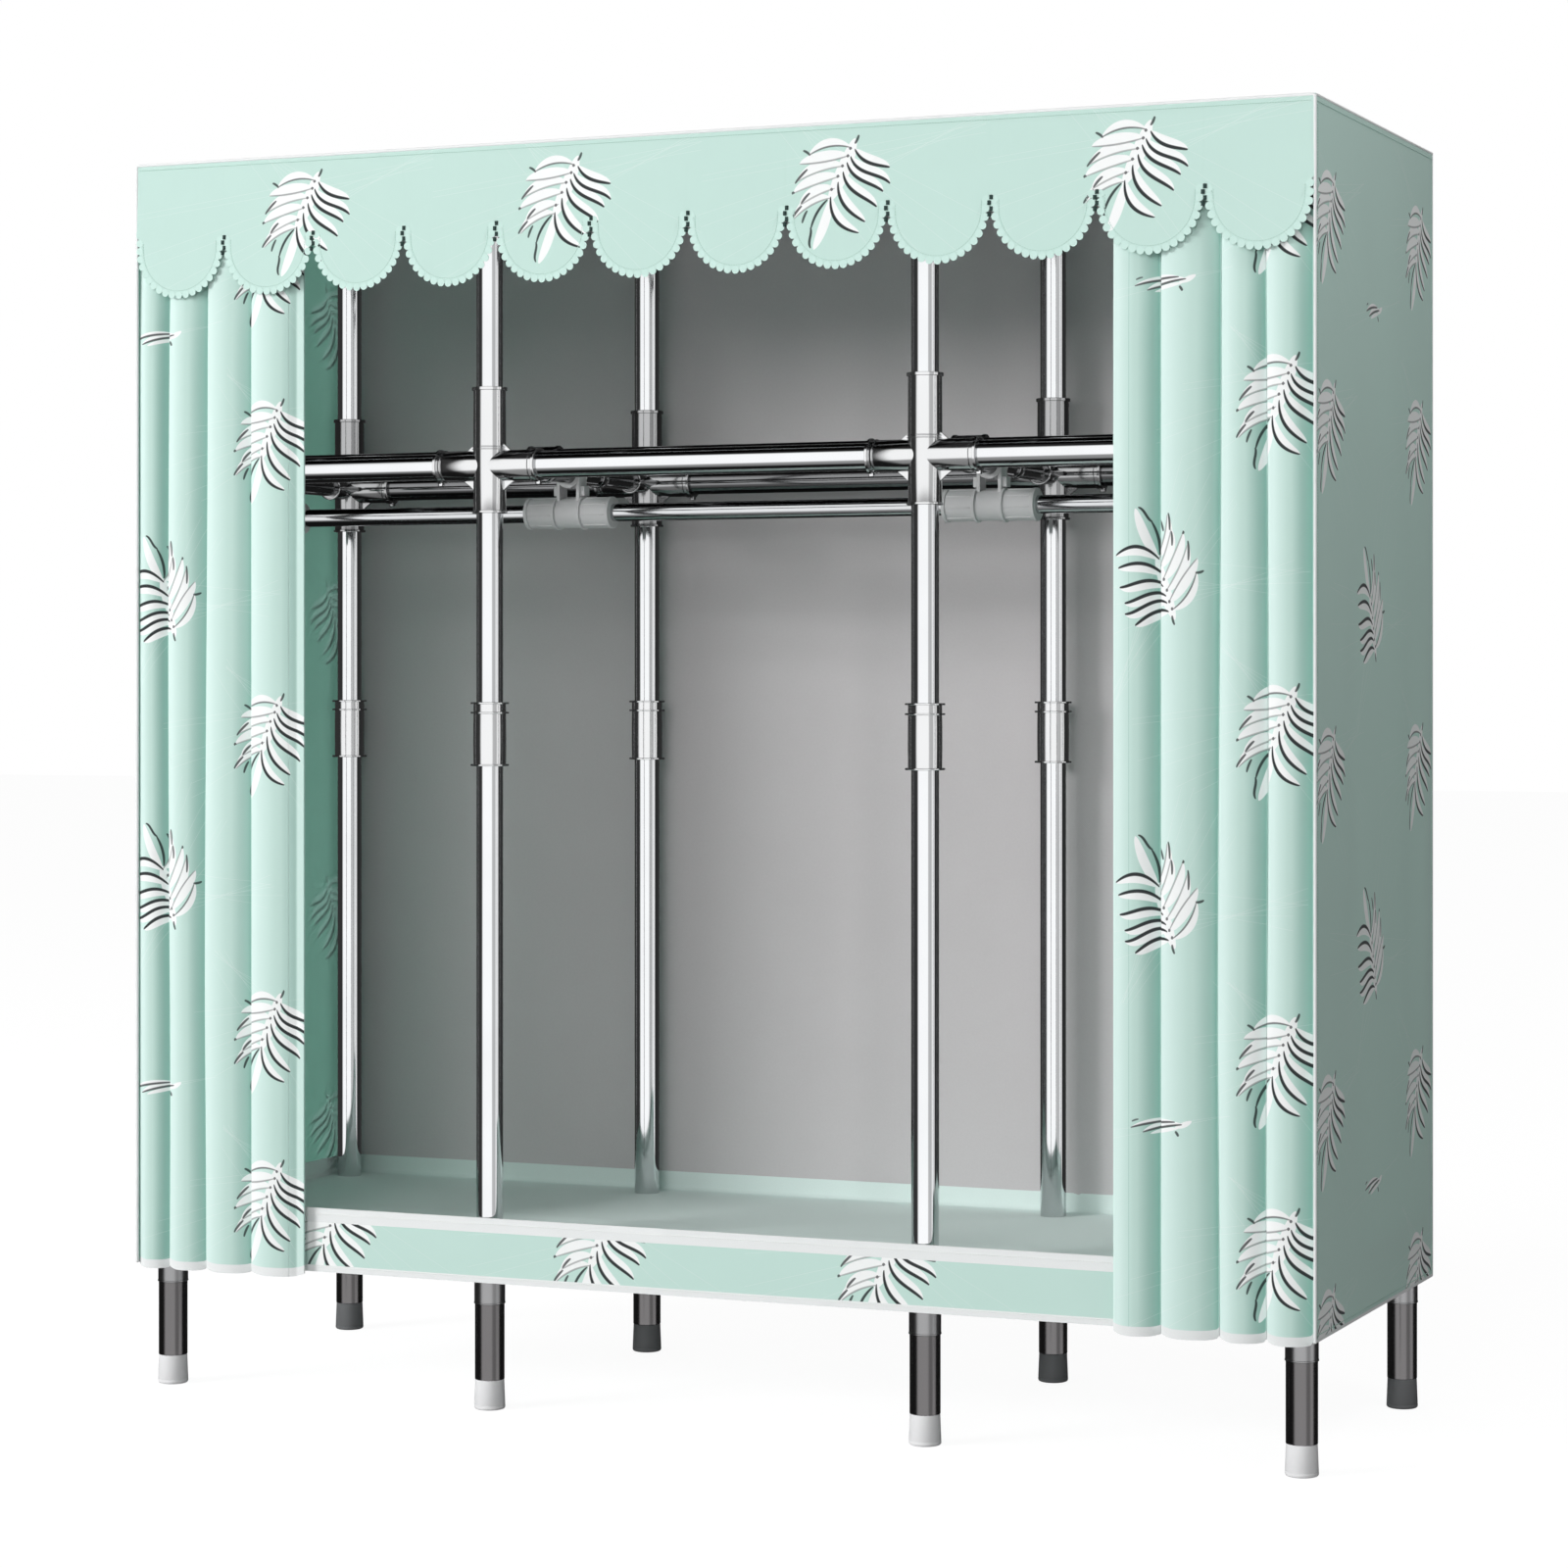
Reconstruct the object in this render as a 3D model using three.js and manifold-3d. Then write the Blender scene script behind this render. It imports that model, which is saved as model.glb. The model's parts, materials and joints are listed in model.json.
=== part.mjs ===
// Portable fabric wardrobe: a frame of plugged steel tubes under a sewn cloth cover with two curtains.
// Millimetres, +Z up, the front faces -Y, the origin is on the floor under the middle of the cover.
import * as THREE from 'three';
import { mergeVertices } from 'three/addons/utils/BufferGeometryUtils.js';
import Module from 'manifold-3d';

const wasm = await Module();
wasm.setup();

// Cover and its height over the floor
const coverWidth = 1690;
const coverDepth = 590;
const coverTop = 1700;
const coverBottom = 172;
const clothWall = 1.2;

// How far the posts stand inside the cover, and how wide the middle bay is
const postSideInset = 31;
const postRowInset = 47;
const middleBay = 630;

// Tubes
const tubeOd = 36;
const tubeWall = 0.6;
const barOd = 25;
const slatOd = 19;
const slatShareOfRow = 1 / 3;

// Gap between pieces that touch
const fit = 0.3;
const roundSides = 12;
const thinSides = 8;
const overrun = 2;

// Foot caps
const capOd = 42;
const capFlare = 1.5;
const capHeight = 41;
const capFloor = 4;

// Post couplings, placed by their share of the way from the cover's bottom up to the shelf
const couplingHeightShare = 0.671;
const couplingOd = 44;
const couplingLength = 86;
const couplingRingOd = 52;
const couplingRingWidth = 4;
const couplingRingStep = 13;

// Bottom level
const floorAboveBottom = 58;
const legSleeveOd = 40;
const legSleeveBelowCover = 30;
const lipHeight = 28;

// Shelf level
const shelfBelowTop = 428;
const sleeveOd = 44;
const sleeveUp = 106;
const sleeveDown = 64;
const sleeveRingOd = 48;
const sleeveRingWidth = 4;
const sleeveRingZ = 26;
const armOd = 42;
const armReach = 76;
const armRingOd = 47;
const armRingWidth = 4;
const barSocketOd = 32;
const barSocketReach = 60;
const gussetLeg = 16;
const gussetRise = 13;
const gussetWall = 4;
const slatCollarOd = 28;
const slatCollarHalf = 24;
const slatEnd = 20;

// Hanging rails and the brackets that hold them under the shelf bars
const hangDrop = 54;
const bracketOd = 42;
const bracketReach = 66;
const bracketFlangeOd = 47;
const bracketFlangeWidth = 4;
const strapWall = 5;
const strapWidth = 24;
const socketStop = 3;

// Top level
const topHubOd = 44;
const topHubDown = 66;
const hubRoof = 3;

// Curtain rod and its end cups
const rodOd = 12;
const rodFront = 12;
const rodDropBelowTop = 50;
const rodCupWall = 3;
const rodCupLength = 8;
const rodPlateWall = 4;
const rodPlateSteps = 3;

// Valance
const scallopCount = 12;
const valanceDrop = 189;
const slitDrop = 108;
const slitWidth = 1.6;
const scallopSteps = 5;

// Curtains
const gatheredWidth = 262;
const curtainFolds = 4;
const foldSteps = 6;
const foldDepthTop = 9;
const foldDepthBottom = 14;
const curtainWall = 2.4;
const curtainBelowCover = 7;
const curtainLevels = 4;
const pocketWall = 2;
const rodSlack = 0.5;
const hemWidth = 22;
const hemWall = 4;

// Places worked out from the sizes
const halfWidth = coverWidth / 2;
const halfDepth = coverDepth / 2;
const tubeR = tubeOd / 2;
const barR = barOd / 2;
const slatR = slatOd / 2;
const outerPostX = halfWidth - postSideInset;
const innerPostX = middleBay / 2;
const postRowY = halfDepth - postRowInset;
const postXs = [-outerPostX, -innerPostX, innerPostX, outerPostX];
const frontY = -postRowY;
const backY = postRowY;
const floorZ = coverBottom + floorAboveBottom;
const shelfZ = coverTop - shelfBelowTop;
const couplingZ = coverBottom + (shelfZ - coverBottom) * couplingHeightShare;
const clothTopZ = coverTop - clothWall;
const innerX = halfWidth - clothWall;
const topRailZ = clothTopZ - fit - tubeR;
const bottomRailZ = floorZ - tubeR;
const postTopZ = topRailZ + tubeR - hubRoof - fit;
const slatZ = shelfZ + barR + fit + slatR;
const hangZ = shelfZ - hangDrop;
const rodY = -halfDepth + rodFront;
const rodZ = coverTop - rodDropBelowTop;
const rodR = rodOd / 2;
const pocketR = rodR + rodSlack + pocketWall;
const curtainBottomZ = coverBottom - curtainBelowCover;
const hemLeadX = halfWidth - gatheredWidth;
const rodCupEndX = innerX - fit - rodPlateWall - rodCupLength;

const group = new THREE.Group();
const paint = {
  chrome: [0xd5d8da, 0.15, 1],
  connector: [0xdfe1e2, 0.35, 0.2],
  cap: [0xededee, 0.5, 0],
  backCap: [0x4a4d50, 0.6, 0],
  bracket: [0xa9adaf, 0.5, 0],
  mint: [0xcbe6de, 0.9, 0],
  lining: [0x9a9c9c, 0.9, 0],
};

function addPiece(name, geometry, finish) {
  const [color, roughness, metalness] = paint[finish];
  const mesh = new THREE.Mesh(geometry, new THREE.MeshStandardMaterial({ color, roughness, metalness }));
  mesh.name = name;
  group.add(mesh);
  return mesh;
}

function welded(geometry) {
  const bare = geometry.clone();
  bare.deleteAttribute('normal');
  bare.deleteAttribute('uv');
  return mergeVertices(bare, 1e-4);
}

function solid(geometry) {
  const flat = welded(geometry);
  const vertProperties = new Float32Array(flat.attributes.position.array);
  const triVerts = new Uint32Array(flat.index.array);
  return new wasm.Manifold(new wasm.Mesh({ numProp: 3, vertProperties, triVerts }));
}

function toGeometry(manifold) {
  const mesh = manifold.getMesh();
  const geometry = new THREE.BufferGeometry();
  geometry.setAttribute('position', new THREE.BufferAttribute(new Float32Array(mesh.vertProperties), 3));
  geometry.setIndex(new THREE.BufferAttribute(new Uint32Array(mesh.triVerts), 1));
  return geometry;
}

function joined(geometries) {
  return geometries.map(solid).reduce((sum, next) => sum.add(next));
}

function carved(outside, holes) {
  return toGeometry(joined(outside).subtract(joined(holes)));
}

// A turned shape: [radius, height] pairs from the axis or closed on themselves, along +Z from the origin
function turned(profile, sides = roundSides) {
  const points = profile.map(([radius, height]) => new THREE.Vector2(radius, height));
  return new THREE.LatheGeometry(points, sides).rotateX(Math.PI / 2);
}

function closed(profile) {
  return [...profile, profile[0]];
}

// Lays a shape that stands on the origin along +Z from a place on the X, Y or Z axis; u and v are the
// other two coordinates, in that order
function laid(axis, geometry, start, u, v) {
  if (axis === 'x') return geometry.rotateY(Math.PI / 2).translate(start, u, v);
  if (axis === 'y') return geometry.rotateX(-Math.PI / 2).translate(u, start, v);
  return geometry.translate(u, v, start);
}

function rod(axis, radius, from, to, u, v, sides = roundSides) {
  const length = Math.abs(to - from);
  const bar = turned([[0, 0], [radius, 0], [radius, length], [0, length]], sides);
  return laid(axis, bar, Math.min(from, to), u, v);
}

function thinRod(axis, radius, from, to, u, v) {
  return rod(axis, radius, from, to, u, v, thinSides);
}

function pipe(axis, outer, inner, from, to, u, v, sides = roundSides) {
  const length = Math.abs(to - from);
  const wall = turned(closed([[inner, 0], [outer, 0], [outer, length], [inner, length]]), sides);
  return laid(axis, wall, Math.min(from, to), u, v);
}

function thinPipe(axis, outer, inner, from, to, u, v) {
  return pipe(axis, outer, inner, from, to, u, v, thinSides);
}

function box(x0, x1, y0, y1, z0, z1) {
  const geometry = new THREE.BoxGeometry(x1 - x0, y1 - y0, z1 - z0);
  return geometry.translate((x0 + x1) / 2, (y0 + y1) / 2, (z0 + z1) / 2);
}

// Foot cap: a flared cup that the post's end stands in
function footCap(x, y) {
  const low = capOd / 2;
  const high = low - capFlare;
  const bore = tubeR + fit;
  return turned([
    [0, 0], [low - capFlare, 0], [low, capFlare], [high, capHeight],
    [bore, capHeight], [bore, capFloor], [0, capFloor],
  ]).translate(x, y, 0);
}

// Post: tubes pushed together in one line, with the straight coupling between them
function post(x, y) {
  const bore = tubeR - tubeWall;
  const body = couplingOd / 2;
  const ring = couplingRingOd / 2;
  const low = couplingZ - couplingLength / 2;
  const high = couplingZ + couplingLength / 2;
  const upperRing = high - couplingRingStep;
  const foot = capFloor + fit;
  return turned(closed([
    [bore, foot], [tubeR, foot], [tubeR, low],
    [ring, low], [body, low + couplingRingWidth],
    [body, upperRing - couplingRingWidth], [ring, upperRing], [body, upperRing],
    [body, high - couplingRingWidth], [ring, high], [tubeR, high],
    [tubeR, postTopZ], [bore, postTopZ],
  ])).translate(x, y, 0);
}

// Sleeve of a shelf connector round a post, with its rings
function shelfSleeve(x, y) {
  const body = sleeveOd / 2;
  const ring = sleeveRingOd / 2;
  return turned([
    [0, -sleeveDown], [body, -sleeveDown],
    [body, sleeveRingZ - sleeveRingWidth], [ring, sleeveRingZ], [body, sleeveRingZ],
    [body, sleeveUp - sleeveRingWidth], [ring, sleeveUp], [0, sleeveUp],
  ]).translate(x, y, shelfZ);
}

// Arm of a shelf connector along X, with the flange ring at its mouth
function shelfArm(x, y, side) {
  const mouth = x + side * armReach;
  return [
    rod('x', armOd / 2, x, mouth, y, shelfZ),
    rod('x', armRingOd / 2, mouth - side * armRingWidth, mouth, y, shelfZ),
  ];
}

// Web under an arm, in the corner between the arm and the sleeve
function gusset(x, y, side) {
  const root = sleeveOd / 2 - overrun;
  const under = -armOd / 2 + overrun;
  const corner = new THREE.Shape();
  corner.moveTo(side * root, under);
  corner.lineTo(side * (root + overrun + gussetLeg), under);
  corner.lineTo(side * root, under - overrun - gussetRise);
  corner.closePath();
  const web = new THREE.ExtrudeGeometry(corner, { depth: gussetWall, bevelEnabled: false });
  return web.rotateX(Math.PI / 2).translate(x, y + gussetWall / 2, shelfZ);
}

// Socket that takes a depth bar, from a post towards the middle of the wardrobe
function barSocket(x, y, z) {
  const inward = -Math.sign(y);
  return thinRod('y', barSocketOd / 2, y, y + inward * barSocketReach, x, z);
}

function barSocketBore(x, y, z) {
  const inward = -Math.sign(y);
  return thinRod('y', barR + fit, y, y + inward * (barSocketReach + overrun), x, z);
}

function armSides(index) {
  if (index === 0) return [1];
  if (index === postXs.length - 1) return [-1];
  return [-1, 1];
}

// Front shelf connector: a cross that the post runs through and the rails plug into
function shelfConnector(index) {
  const x = postXs[index];
  const sides = armSides(index);
  const outside = [shelfSleeve(x, frontY), barSocket(x, frontY, shelfZ)];
  const holes = [rod('z', tubeR + fit, shelfZ - sleeveDown - overrun, shelfZ + sleeveUp + overrun, x, frontY)];
  holes.push(barSocketBore(x, frontY, shelfZ));
  sides.forEach((side) => {
    outside.push(...shelfArm(x, frontY, side), gusset(x, frontY, side));
    holes.push(rod('x', tubeR + fit, x + side * sleeveOd / 2, x + side * (armReach + overrun), frontY, shelfZ));
  });
  return carved(outside, holes);
}

// Lengthwise rail with its connectors moulded round the posts, for a level where they stay together
function railWithHubs(y, z, hub, holeLow, holeHigh) {
  const first = postXs[0];
  const last = postXs[postXs.length - 1];
  const outside = [thinRod('x', tubeR, first, last, y, z)];
  const holes = [thinRod('x', tubeR - tubeWall, first, last, y, z)];
  postXs.forEach((x) => {
    outside.push(...hub(x), barSocket(x, y, z));
    holes.push(rod('z', tubeR + fit, holeLow, holeHigh, x, y), barSocketBore(x, y, z));
  });
  return [outside, holes];
}

function backShelfRail() {
  const hub = (x) => {
    const sides = armSides(postXs.indexOf(x));
    return [shelfSleeve(x, backY), ...sides.flatMap((side) => shelfArm(x, backY, side))];
  };
  const low = shelfZ - sleeveDown - overrun;
  const high = shelfZ + sleeveUp + overrun;
  return carved(...railWithHubs(backY, shelfZ, hub, low, high));
}

function bottomRail(y) {
  const low = coverBottom - legSleeveBelowCover;
  const hub = (x) => [rod('z', legSleeveOd / 2, low, floorZ, x, y)];
  return carved(...railWithHubs(y, bottomRailZ, hub, low - overrun, floorZ + overrun));
}

function topHub(x, y) {
  return rod('z', topHubOd / 2, topRailZ + tubeR, topRailZ - topHubDown, x, y);
}

function topRail(y) {
  const hub = (x) => [topHub(x, y)];
  const low = topRailZ - topHubDown - overrun;
  return railWithHubs(y, topRailZ, hub, low, postTopZ + fit);
}

// Plate at a rail's end with a cup for the curtain rod, on the front top rail only
function rodCup(side) {
  const outline = new THREE.Shape();
  const rise = topRailZ - rodZ;
  const run = frontY - rodY;
  const reach = Math.hypot(rise, run);
  const cupR = rodR + fit + rodCupWall;
  const tilt = Math.atan2(rise, run);
  const lean = Math.acos((cupR - tubeR) / reach);
  outline.absarc(rodY, rodZ, cupR, tilt + lean, tilt - lean + 2 * Math.PI, false);
  outline.absarc(frontY, topRailZ, tubeR, tilt - lean, tilt + lean, false);
  outline.closePath();
  const settings = { depth: rodPlateWall, bevelEnabled: false, curveSegments: rodPlateSteps };
  const plate = new THREE.ExtrudeGeometry(outline, settings);
  plate.rotateX(Math.PI / 2).rotateZ(Math.PI / 2);
  const outer = side * (innerX - fit);
  const inner = outer - side * rodPlateWall;
  plate.translate(Math.min(outer, inner), 0, 0);
  return [plate, thinRod('x', cupR, inner, inner - side * rodCupLength, rodY, rodZ)];
}

function topFrontRail() {
  const [outside, holes] = topRail(frontY);
  [-1, 1].forEach((side) => {
    const outer = side * (innerX - fit);
    const inner = outer - side * rodPlateWall;
    outside.push(...rodCup(side), rod('x', tubeR, side * outerPostX, outer, frontY, topRailZ));
    holes.push(thinRod('x', rodR + fit, inner, inner - side * (rodCupLength + overrun), rodY, rodZ));
  });
  return carved(outside, holes);
}

// Depth bar between the sockets of the front and the back row
function depthBar(x, z) {
  const end = postRowY - tubeR - fit - fit;
  return thinPipe('y', barR, barR - tubeWall, -end, end, x, z);
}

// Front shelf rail between two connectors
function shelfRail(index) {
  const from = postXs[index] + sleeveOd / 2 + fit;
  const to = postXs[index + 1] - sleeveOd / 2 - fit;
  return pipe('x', tubeR, tubeR - tubeWall, from, to, frontY, shelfZ);
}

// Shelf slat: a thin tube that lies on the depth bars, clipped over each by a collar
function shelfSlat(y) {
  const end = outerPostX + slatEnd;
  const outside = [thinRod('x', slatR, -end, end, y, slatZ)];
  const holes = [thinRod('x', slatR - tubeWall, -end - overrun, end + overrun, y, slatZ)];
  postXs.forEach((x) => {
    const reach = Math.min(slatCollarHalf, end - Math.abs(x));
    outside.push(thinRod('x', slatCollarOd / 2, x - reach, x + reach, y, slatZ));
    holes.push(thinRod('y', barR + fit, y - slatCollarOd, y + slatCollarOd, x, shelfZ));
  });
  return carved(outside, holes);
}

// Bracket under a depth bar: a strap over the bar and a socket for each hanging rail
function hangBracket(index) {
  const x = postXs[index];
  const sides = armSides(index);
  const strapR = barR + fit + strapWall;
  const strap = new THREE.Shape();
  strap.moveTo(-strapR, hangZ);
  strap.lineTo(strapR, hangZ);
  strap.lineTo(strapR, shelfZ);
  strap.absarc(0, shelfZ, strapR, 0, Math.PI, false);
  strap.closePath();
  const settings = { depth: strapWidth, bevelEnabled: false, curveSegments: roundSides / 2 };
  const loop = new THREE.ExtrudeGeometry(strap, settings);
  loop.rotateX(Math.PI / 2).translate(x, strapWidth / 2, 0);
  const outside = [loop, rod('x', bracketOd / 2, x - strapR, x + strapR, 0, hangZ)];
  const holes = [thinRod('y', barR + fit, -strapWidth, strapWidth, x, shelfZ)];
  sides.forEach((side) => {
    const mouth = x + side * bracketReach;
    outside.push(rod('x', bracketOd / 2, x, mouth, 0, hangZ));
    const flangeX = x + side * strapR;
    outside.push(rod('x', bracketFlangeOd / 2, flangeX, flangeX + side * bracketFlangeWidth, 0, hangZ));
    holes.push(thinRod('x', barR + fit, x + side * socketStop, mouth + side * overrun, 0, hangZ));
  });
  return carved(outside, holes);
}

function hangRail(index) {
  const from = postXs[index] + socketStop + fit;
  const to = postXs[index + 1] - socketStop - fit;
  return thinPipe('x', barR, barR - tubeWall, from, to, 0, hangZ);
}

// Floor cloth with its front skirt and the lips at the sides and the back; the posts run through it
function floorTray() {
  const bottom = floorZ + fit;
  const lipTop = bottom + clothWall + lipHeight;
  const x = innerX - fit;
  const back = halfDepth - clothWall - fit;
  const skirtBack = frontY - legSleeveOd / 2 - fit;
  const skirtFront = skirtBack - clothWall;
  const outside = [box(-x, x, skirtFront, back, coverBottom, lipTop)];
  const overFloor = bottom + clothWall;
  const holes = [
    box(-x + clothWall, x - clothWall, skirtBack, back - clothWall, overFloor, lipTop + overrun),
    box(-x - overrun, x + overrun, skirtBack, back + overrun, coverBottom - overrun, bottom),
  ];
  postXs.forEach((postX) => {
    [frontY, backY].forEach((y) => {
      holes.push(rod('z', tubeR + fit, bottom - overrun, overFloor + overrun, postX, y));
    });
  });
  return carved(outside, holes);
}

// Valance: a straight top edge and a row of scallops with a slit between each two
function valance() {
  const x = innerX - fit;
  const pitch = 2 * x / scallopCount;
  const radius = (pitch - slitWidth) / 2;
  const arcZ = coverTop - valanceDrop + radius;
  const slitTop = coverTop - slitDrop;
  const outline = new THREE.Shape();
  outline.moveTo(x, clothTopZ - fit);
  outline.lineTo(-x, clothTopZ - fit);
  for (let i = 0; i < scallopCount; i += 1) {
    const centre = -x + (i + 0.5) * pitch;
    if (i > 0) outline.lineTo(centre - radius, slitTop);
    outline.absarc(centre, arcZ, radius, Math.PI, 2 * Math.PI, false);
    if (i < scallopCount - 1) outline.lineTo(centre + radius, slitTop);
  }
  outline.lineTo(x, arcZ);
  outline.closePath();
  const settings = { depth: clothWall, bevelEnabled: false, curveSegments: scallopSteps };
  const cloth = new THREE.ExtrudeGeometry(outline, settings);
  return cloth.rotateX(Math.PI / 2).translate(0, -halfDepth + clothWall, 0);
}

// A skin over rings of equal length, closed by a flat cap at each end
function lofted(rings) {
  const count = rings[0].length;
  const positions = rings.flatMap((ring) => ring.flatMap((point) => point));
  const indices = [];
  for (let level = 0; level < rings.length - 1; level += 1) {
    for (let i = 0; i < count; i += 1) {
      const next = (i + 1) % count;
      const a = level * count + i;
      const b = level * count + next;
      indices.push(a, b, b + count, a, b + count, a + count);
    }
  }
  const flat = rings[0].map(([x, y]) => new THREE.Vector2(x, y));
  const roof = (rings.length - 1) * count;
  THREE.ShapeUtils.triangulateShape(flat, []).forEach(([a, b, c]) => {
    indices.push(c, b, a, roof + a, roof + b, roof + c);
  });
  const geometry = new THREE.BufferGeometry();
  geometry.setAttribute('position', new THREE.Float32BufferAttribute(positions, 3));
  geometry.setIndex(indices);
  return geometry;
}

// One level of the gathered cloth: round folds to the front, creases at the back
function foldRing(side, from, to, depth, z) {
  const back = rodY + pocketR;
  const steps = curtainFolds * foldSteps;
  const front = [];
  for (let i = 0; i <= steps; i += 1) {
    const t = (i % foldSteps) / foldSteps;
    const x = from + (to - from) * i / steps;
    front.push([side * x, back - curtainWall - 4 * depth * t * (1 - t), z]);
  }
  const rear = front.map(([x, y]) => [x, y + curtainWall, z]).reverse();
  const ring = [...front, ...rear];
  return side < 0 ? ring.reverse() : ring;
}

// Gathered curtain: a pocket on the rod and the cloth that hangs from it in folds
function curtain(side) {
  const lead = hemLeadX + hemWidth + fit;
  const wall = rodCupEndX - fit;
  const top = rodZ - rodR - rodSlack;
  const rings = [];
  for (let level = 0; level < curtainLevels; level += 1) {
    const t = level / (curtainLevels - 1);
    const depth = foldDepthBottom + (foldDepthTop - foldDepthBottom) * t;
    rings.push(foldRing(side, lead, wall, depth, curtainBottomZ + (top - curtainBottomZ) * t));
  }
  const cloth = lofted(rings);
  const pocket = thinRod('x', pocketR, side * lead, side * wall, rodY, rodZ);
  const bore = thinRod('x', rodR + rodSlack, side * (lead - overrun), side * (wall + overrun), rodY, rodZ);
  return carved([cloth, pocket], [bore]);
}

// Lead hem of a curtain: the doubled edge that is pulled along, on a loop round the rod
function leadHem(side) {
  const from = side * hemLeadX;
  const to = side * (hemLeadX + hemWidth);
  const low = Math.min(from, to);
  const high = Math.max(from, to);
  const strip = box(low, high, rodY - hemWall / 2, rodY + hemWall / 2, curtainBottomZ, rodZ - rodR - rodSlack);
  const bore = thinRod('x', rodR + rodSlack, low - overrun, high + overrun, rodY, rodZ);
  return carved([strip, thinRod('x', pocketR, low, high, rodY, rodZ)], [bore]);
}

const rows = [['front', frontY], ['back', backY]];
rows.forEach(([row, y]) => {
  postXs.forEach((x, index) => {
    addPiece(`post_${row}_${index + 1}`, post(x, y), 'chrome');
    addPiece(`foot_cap_${row}_${index + 1}`, footCap(x, y), row === 'front' ? 'cap' : 'backCap');
  });
  addPiece(`bottom_rail_${row}`, bottomRail(y), 'chrome');
});

postXs.forEach((x, index) => {
  addPiece(`shelf_connector_${index + 1}`, shelfConnector(index), 'connector');
  addPiece(`bottom_depth_bar_${index + 1}`, depthBar(x, bottomRailZ), 'chrome');
  addPiece(`shelf_depth_bar_${index + 1}`, depthBar(x, shelfZ), 'chrome');
  addPiece(`top_depth_bar_${index + 1}`, depthBar(x, topRailZ), 'chrome');
  addPiece(`hanging_bracket_${index + 1}`, hangBracket(index), 'bracket');
});

['left', 'middle', 'right'].forEach((bay, index) => {
  addPiece(`shelf_rail_${bay}`, shelfRail(index), 'chrome');
  addPiece(`hanging_rail_${bay}`, hangRail(index), 'chrome');
});

addPiece('shelf_rail_back', backShelfRail(), 'chrome');
addPiece('shelf_slat_front', shelfSlat(frontY * slatShareOfRow), 'chrome');
addPiece('shelf_slat_back', shelfSlat(backY * slatShareOfRow), 'chrome');
addPiece('top_rail_front', topFrontRail(), 'chrome');
addPiece('top_rail_back', carved(...topRail(backY)), 'chrome');
addPiece('curtain_rod', thinPipe('x', rodR, rodR - tubeWall, -innerX + fit + rodPlateWall + fit,
  innerX - fit - rodPlateWall - fit, rodY, rodZ), 'chrome');

const sideTop = clothTopZ - fit;
addPiece('floor_tray', floorTray(), 'mint');
addPiece('cover_top', box(-halfWidth, halfWidth, -halfDepth, halfDepth, clothTopZ, coverTop), 'mint');
addPiece('cover_left', box(-halfWidth, -innerX, -halfDepth, halfDepth, coverBottom, sideTop), 'mint');
addPiece('cover_right', box(innerX, halfWidth, -halfDepth, halfDepth, coverBottom, sideTop), 'mint');
addPiece('cover_back', box(-innerX + fit, innerX - fit, halfDepth - clothWall, halfDepth, coverBottom, sideTop),
  'lining');
addPiece('valance', valance(), 'mint');

[['left', -1], ['right', 1]].forEach(([name, side]) => {
  addPiece(`curtain_${name}`, curtain(side), 'mint');
  addPiece(`curtain_${name}_lead_hem`, leadHem(side), 'mint');
});

export default group;
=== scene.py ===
import json
import math

import bmesh
import bpy
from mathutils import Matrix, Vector

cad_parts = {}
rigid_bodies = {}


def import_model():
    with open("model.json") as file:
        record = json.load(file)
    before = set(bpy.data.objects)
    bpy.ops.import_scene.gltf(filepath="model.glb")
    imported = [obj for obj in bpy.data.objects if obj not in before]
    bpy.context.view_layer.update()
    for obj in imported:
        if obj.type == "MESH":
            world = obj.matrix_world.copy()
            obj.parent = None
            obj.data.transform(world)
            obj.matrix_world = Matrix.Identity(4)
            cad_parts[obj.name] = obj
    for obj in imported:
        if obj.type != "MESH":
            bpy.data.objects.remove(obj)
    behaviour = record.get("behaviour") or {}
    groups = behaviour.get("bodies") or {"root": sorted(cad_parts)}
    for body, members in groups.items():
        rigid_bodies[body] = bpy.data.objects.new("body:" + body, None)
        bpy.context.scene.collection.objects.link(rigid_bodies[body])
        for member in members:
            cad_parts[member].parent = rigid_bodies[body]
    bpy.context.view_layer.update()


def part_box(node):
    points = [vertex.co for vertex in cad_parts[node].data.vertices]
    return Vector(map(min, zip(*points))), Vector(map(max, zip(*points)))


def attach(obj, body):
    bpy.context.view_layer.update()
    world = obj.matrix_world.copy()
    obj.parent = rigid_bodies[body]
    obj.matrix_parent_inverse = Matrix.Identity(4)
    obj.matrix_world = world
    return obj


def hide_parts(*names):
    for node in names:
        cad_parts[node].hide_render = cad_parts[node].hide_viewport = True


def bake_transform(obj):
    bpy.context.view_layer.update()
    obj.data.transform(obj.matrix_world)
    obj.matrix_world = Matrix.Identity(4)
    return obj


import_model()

# Sizes, in millimetres: ROWS and the names with _X, _Y or _Z are places, CLOTH is a thickness, X, Y and Z
# are directions, and the others are radii
COVER_Z, HEM_Z, SEAM_Z, FRONT_Y = 1700.0, 172.0, 1698.6, -293.6
POST_X = (-814.0, -315.0, 315.0, 814.0)
ROWS = {"front": -248.0, "back": 248.0}
TUBE, BAR, SLAT, ROD = 18.0, 12.5, 9.5, 6.0
LEG, LEG_SLEEVE, ARM, SLEEVE, SOCKET, CUP = 20.0, 20.8, 21.0, 22.0, 16.0, 9.3
STRAP, STRAP_BORE = 17.8, 12.9
BOTTOM_Z, SHELF_Z, TOP_Z, HANG_Z, SLAT_Z = 212.0, 1272.0, 1680.5, 1218.0, 1294.3
SLAT_X, SLAT_Y = 833.5, 82.7
COUPLING_Z = 867.1
ROD_Y, ROD_Z = -283.0, 1650.0
CLOTH = 0.7
X, Y, Z = Vector((1, 0, 0)), Vector((0, 1, 0)), Vector((0, 0, 1))


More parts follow.
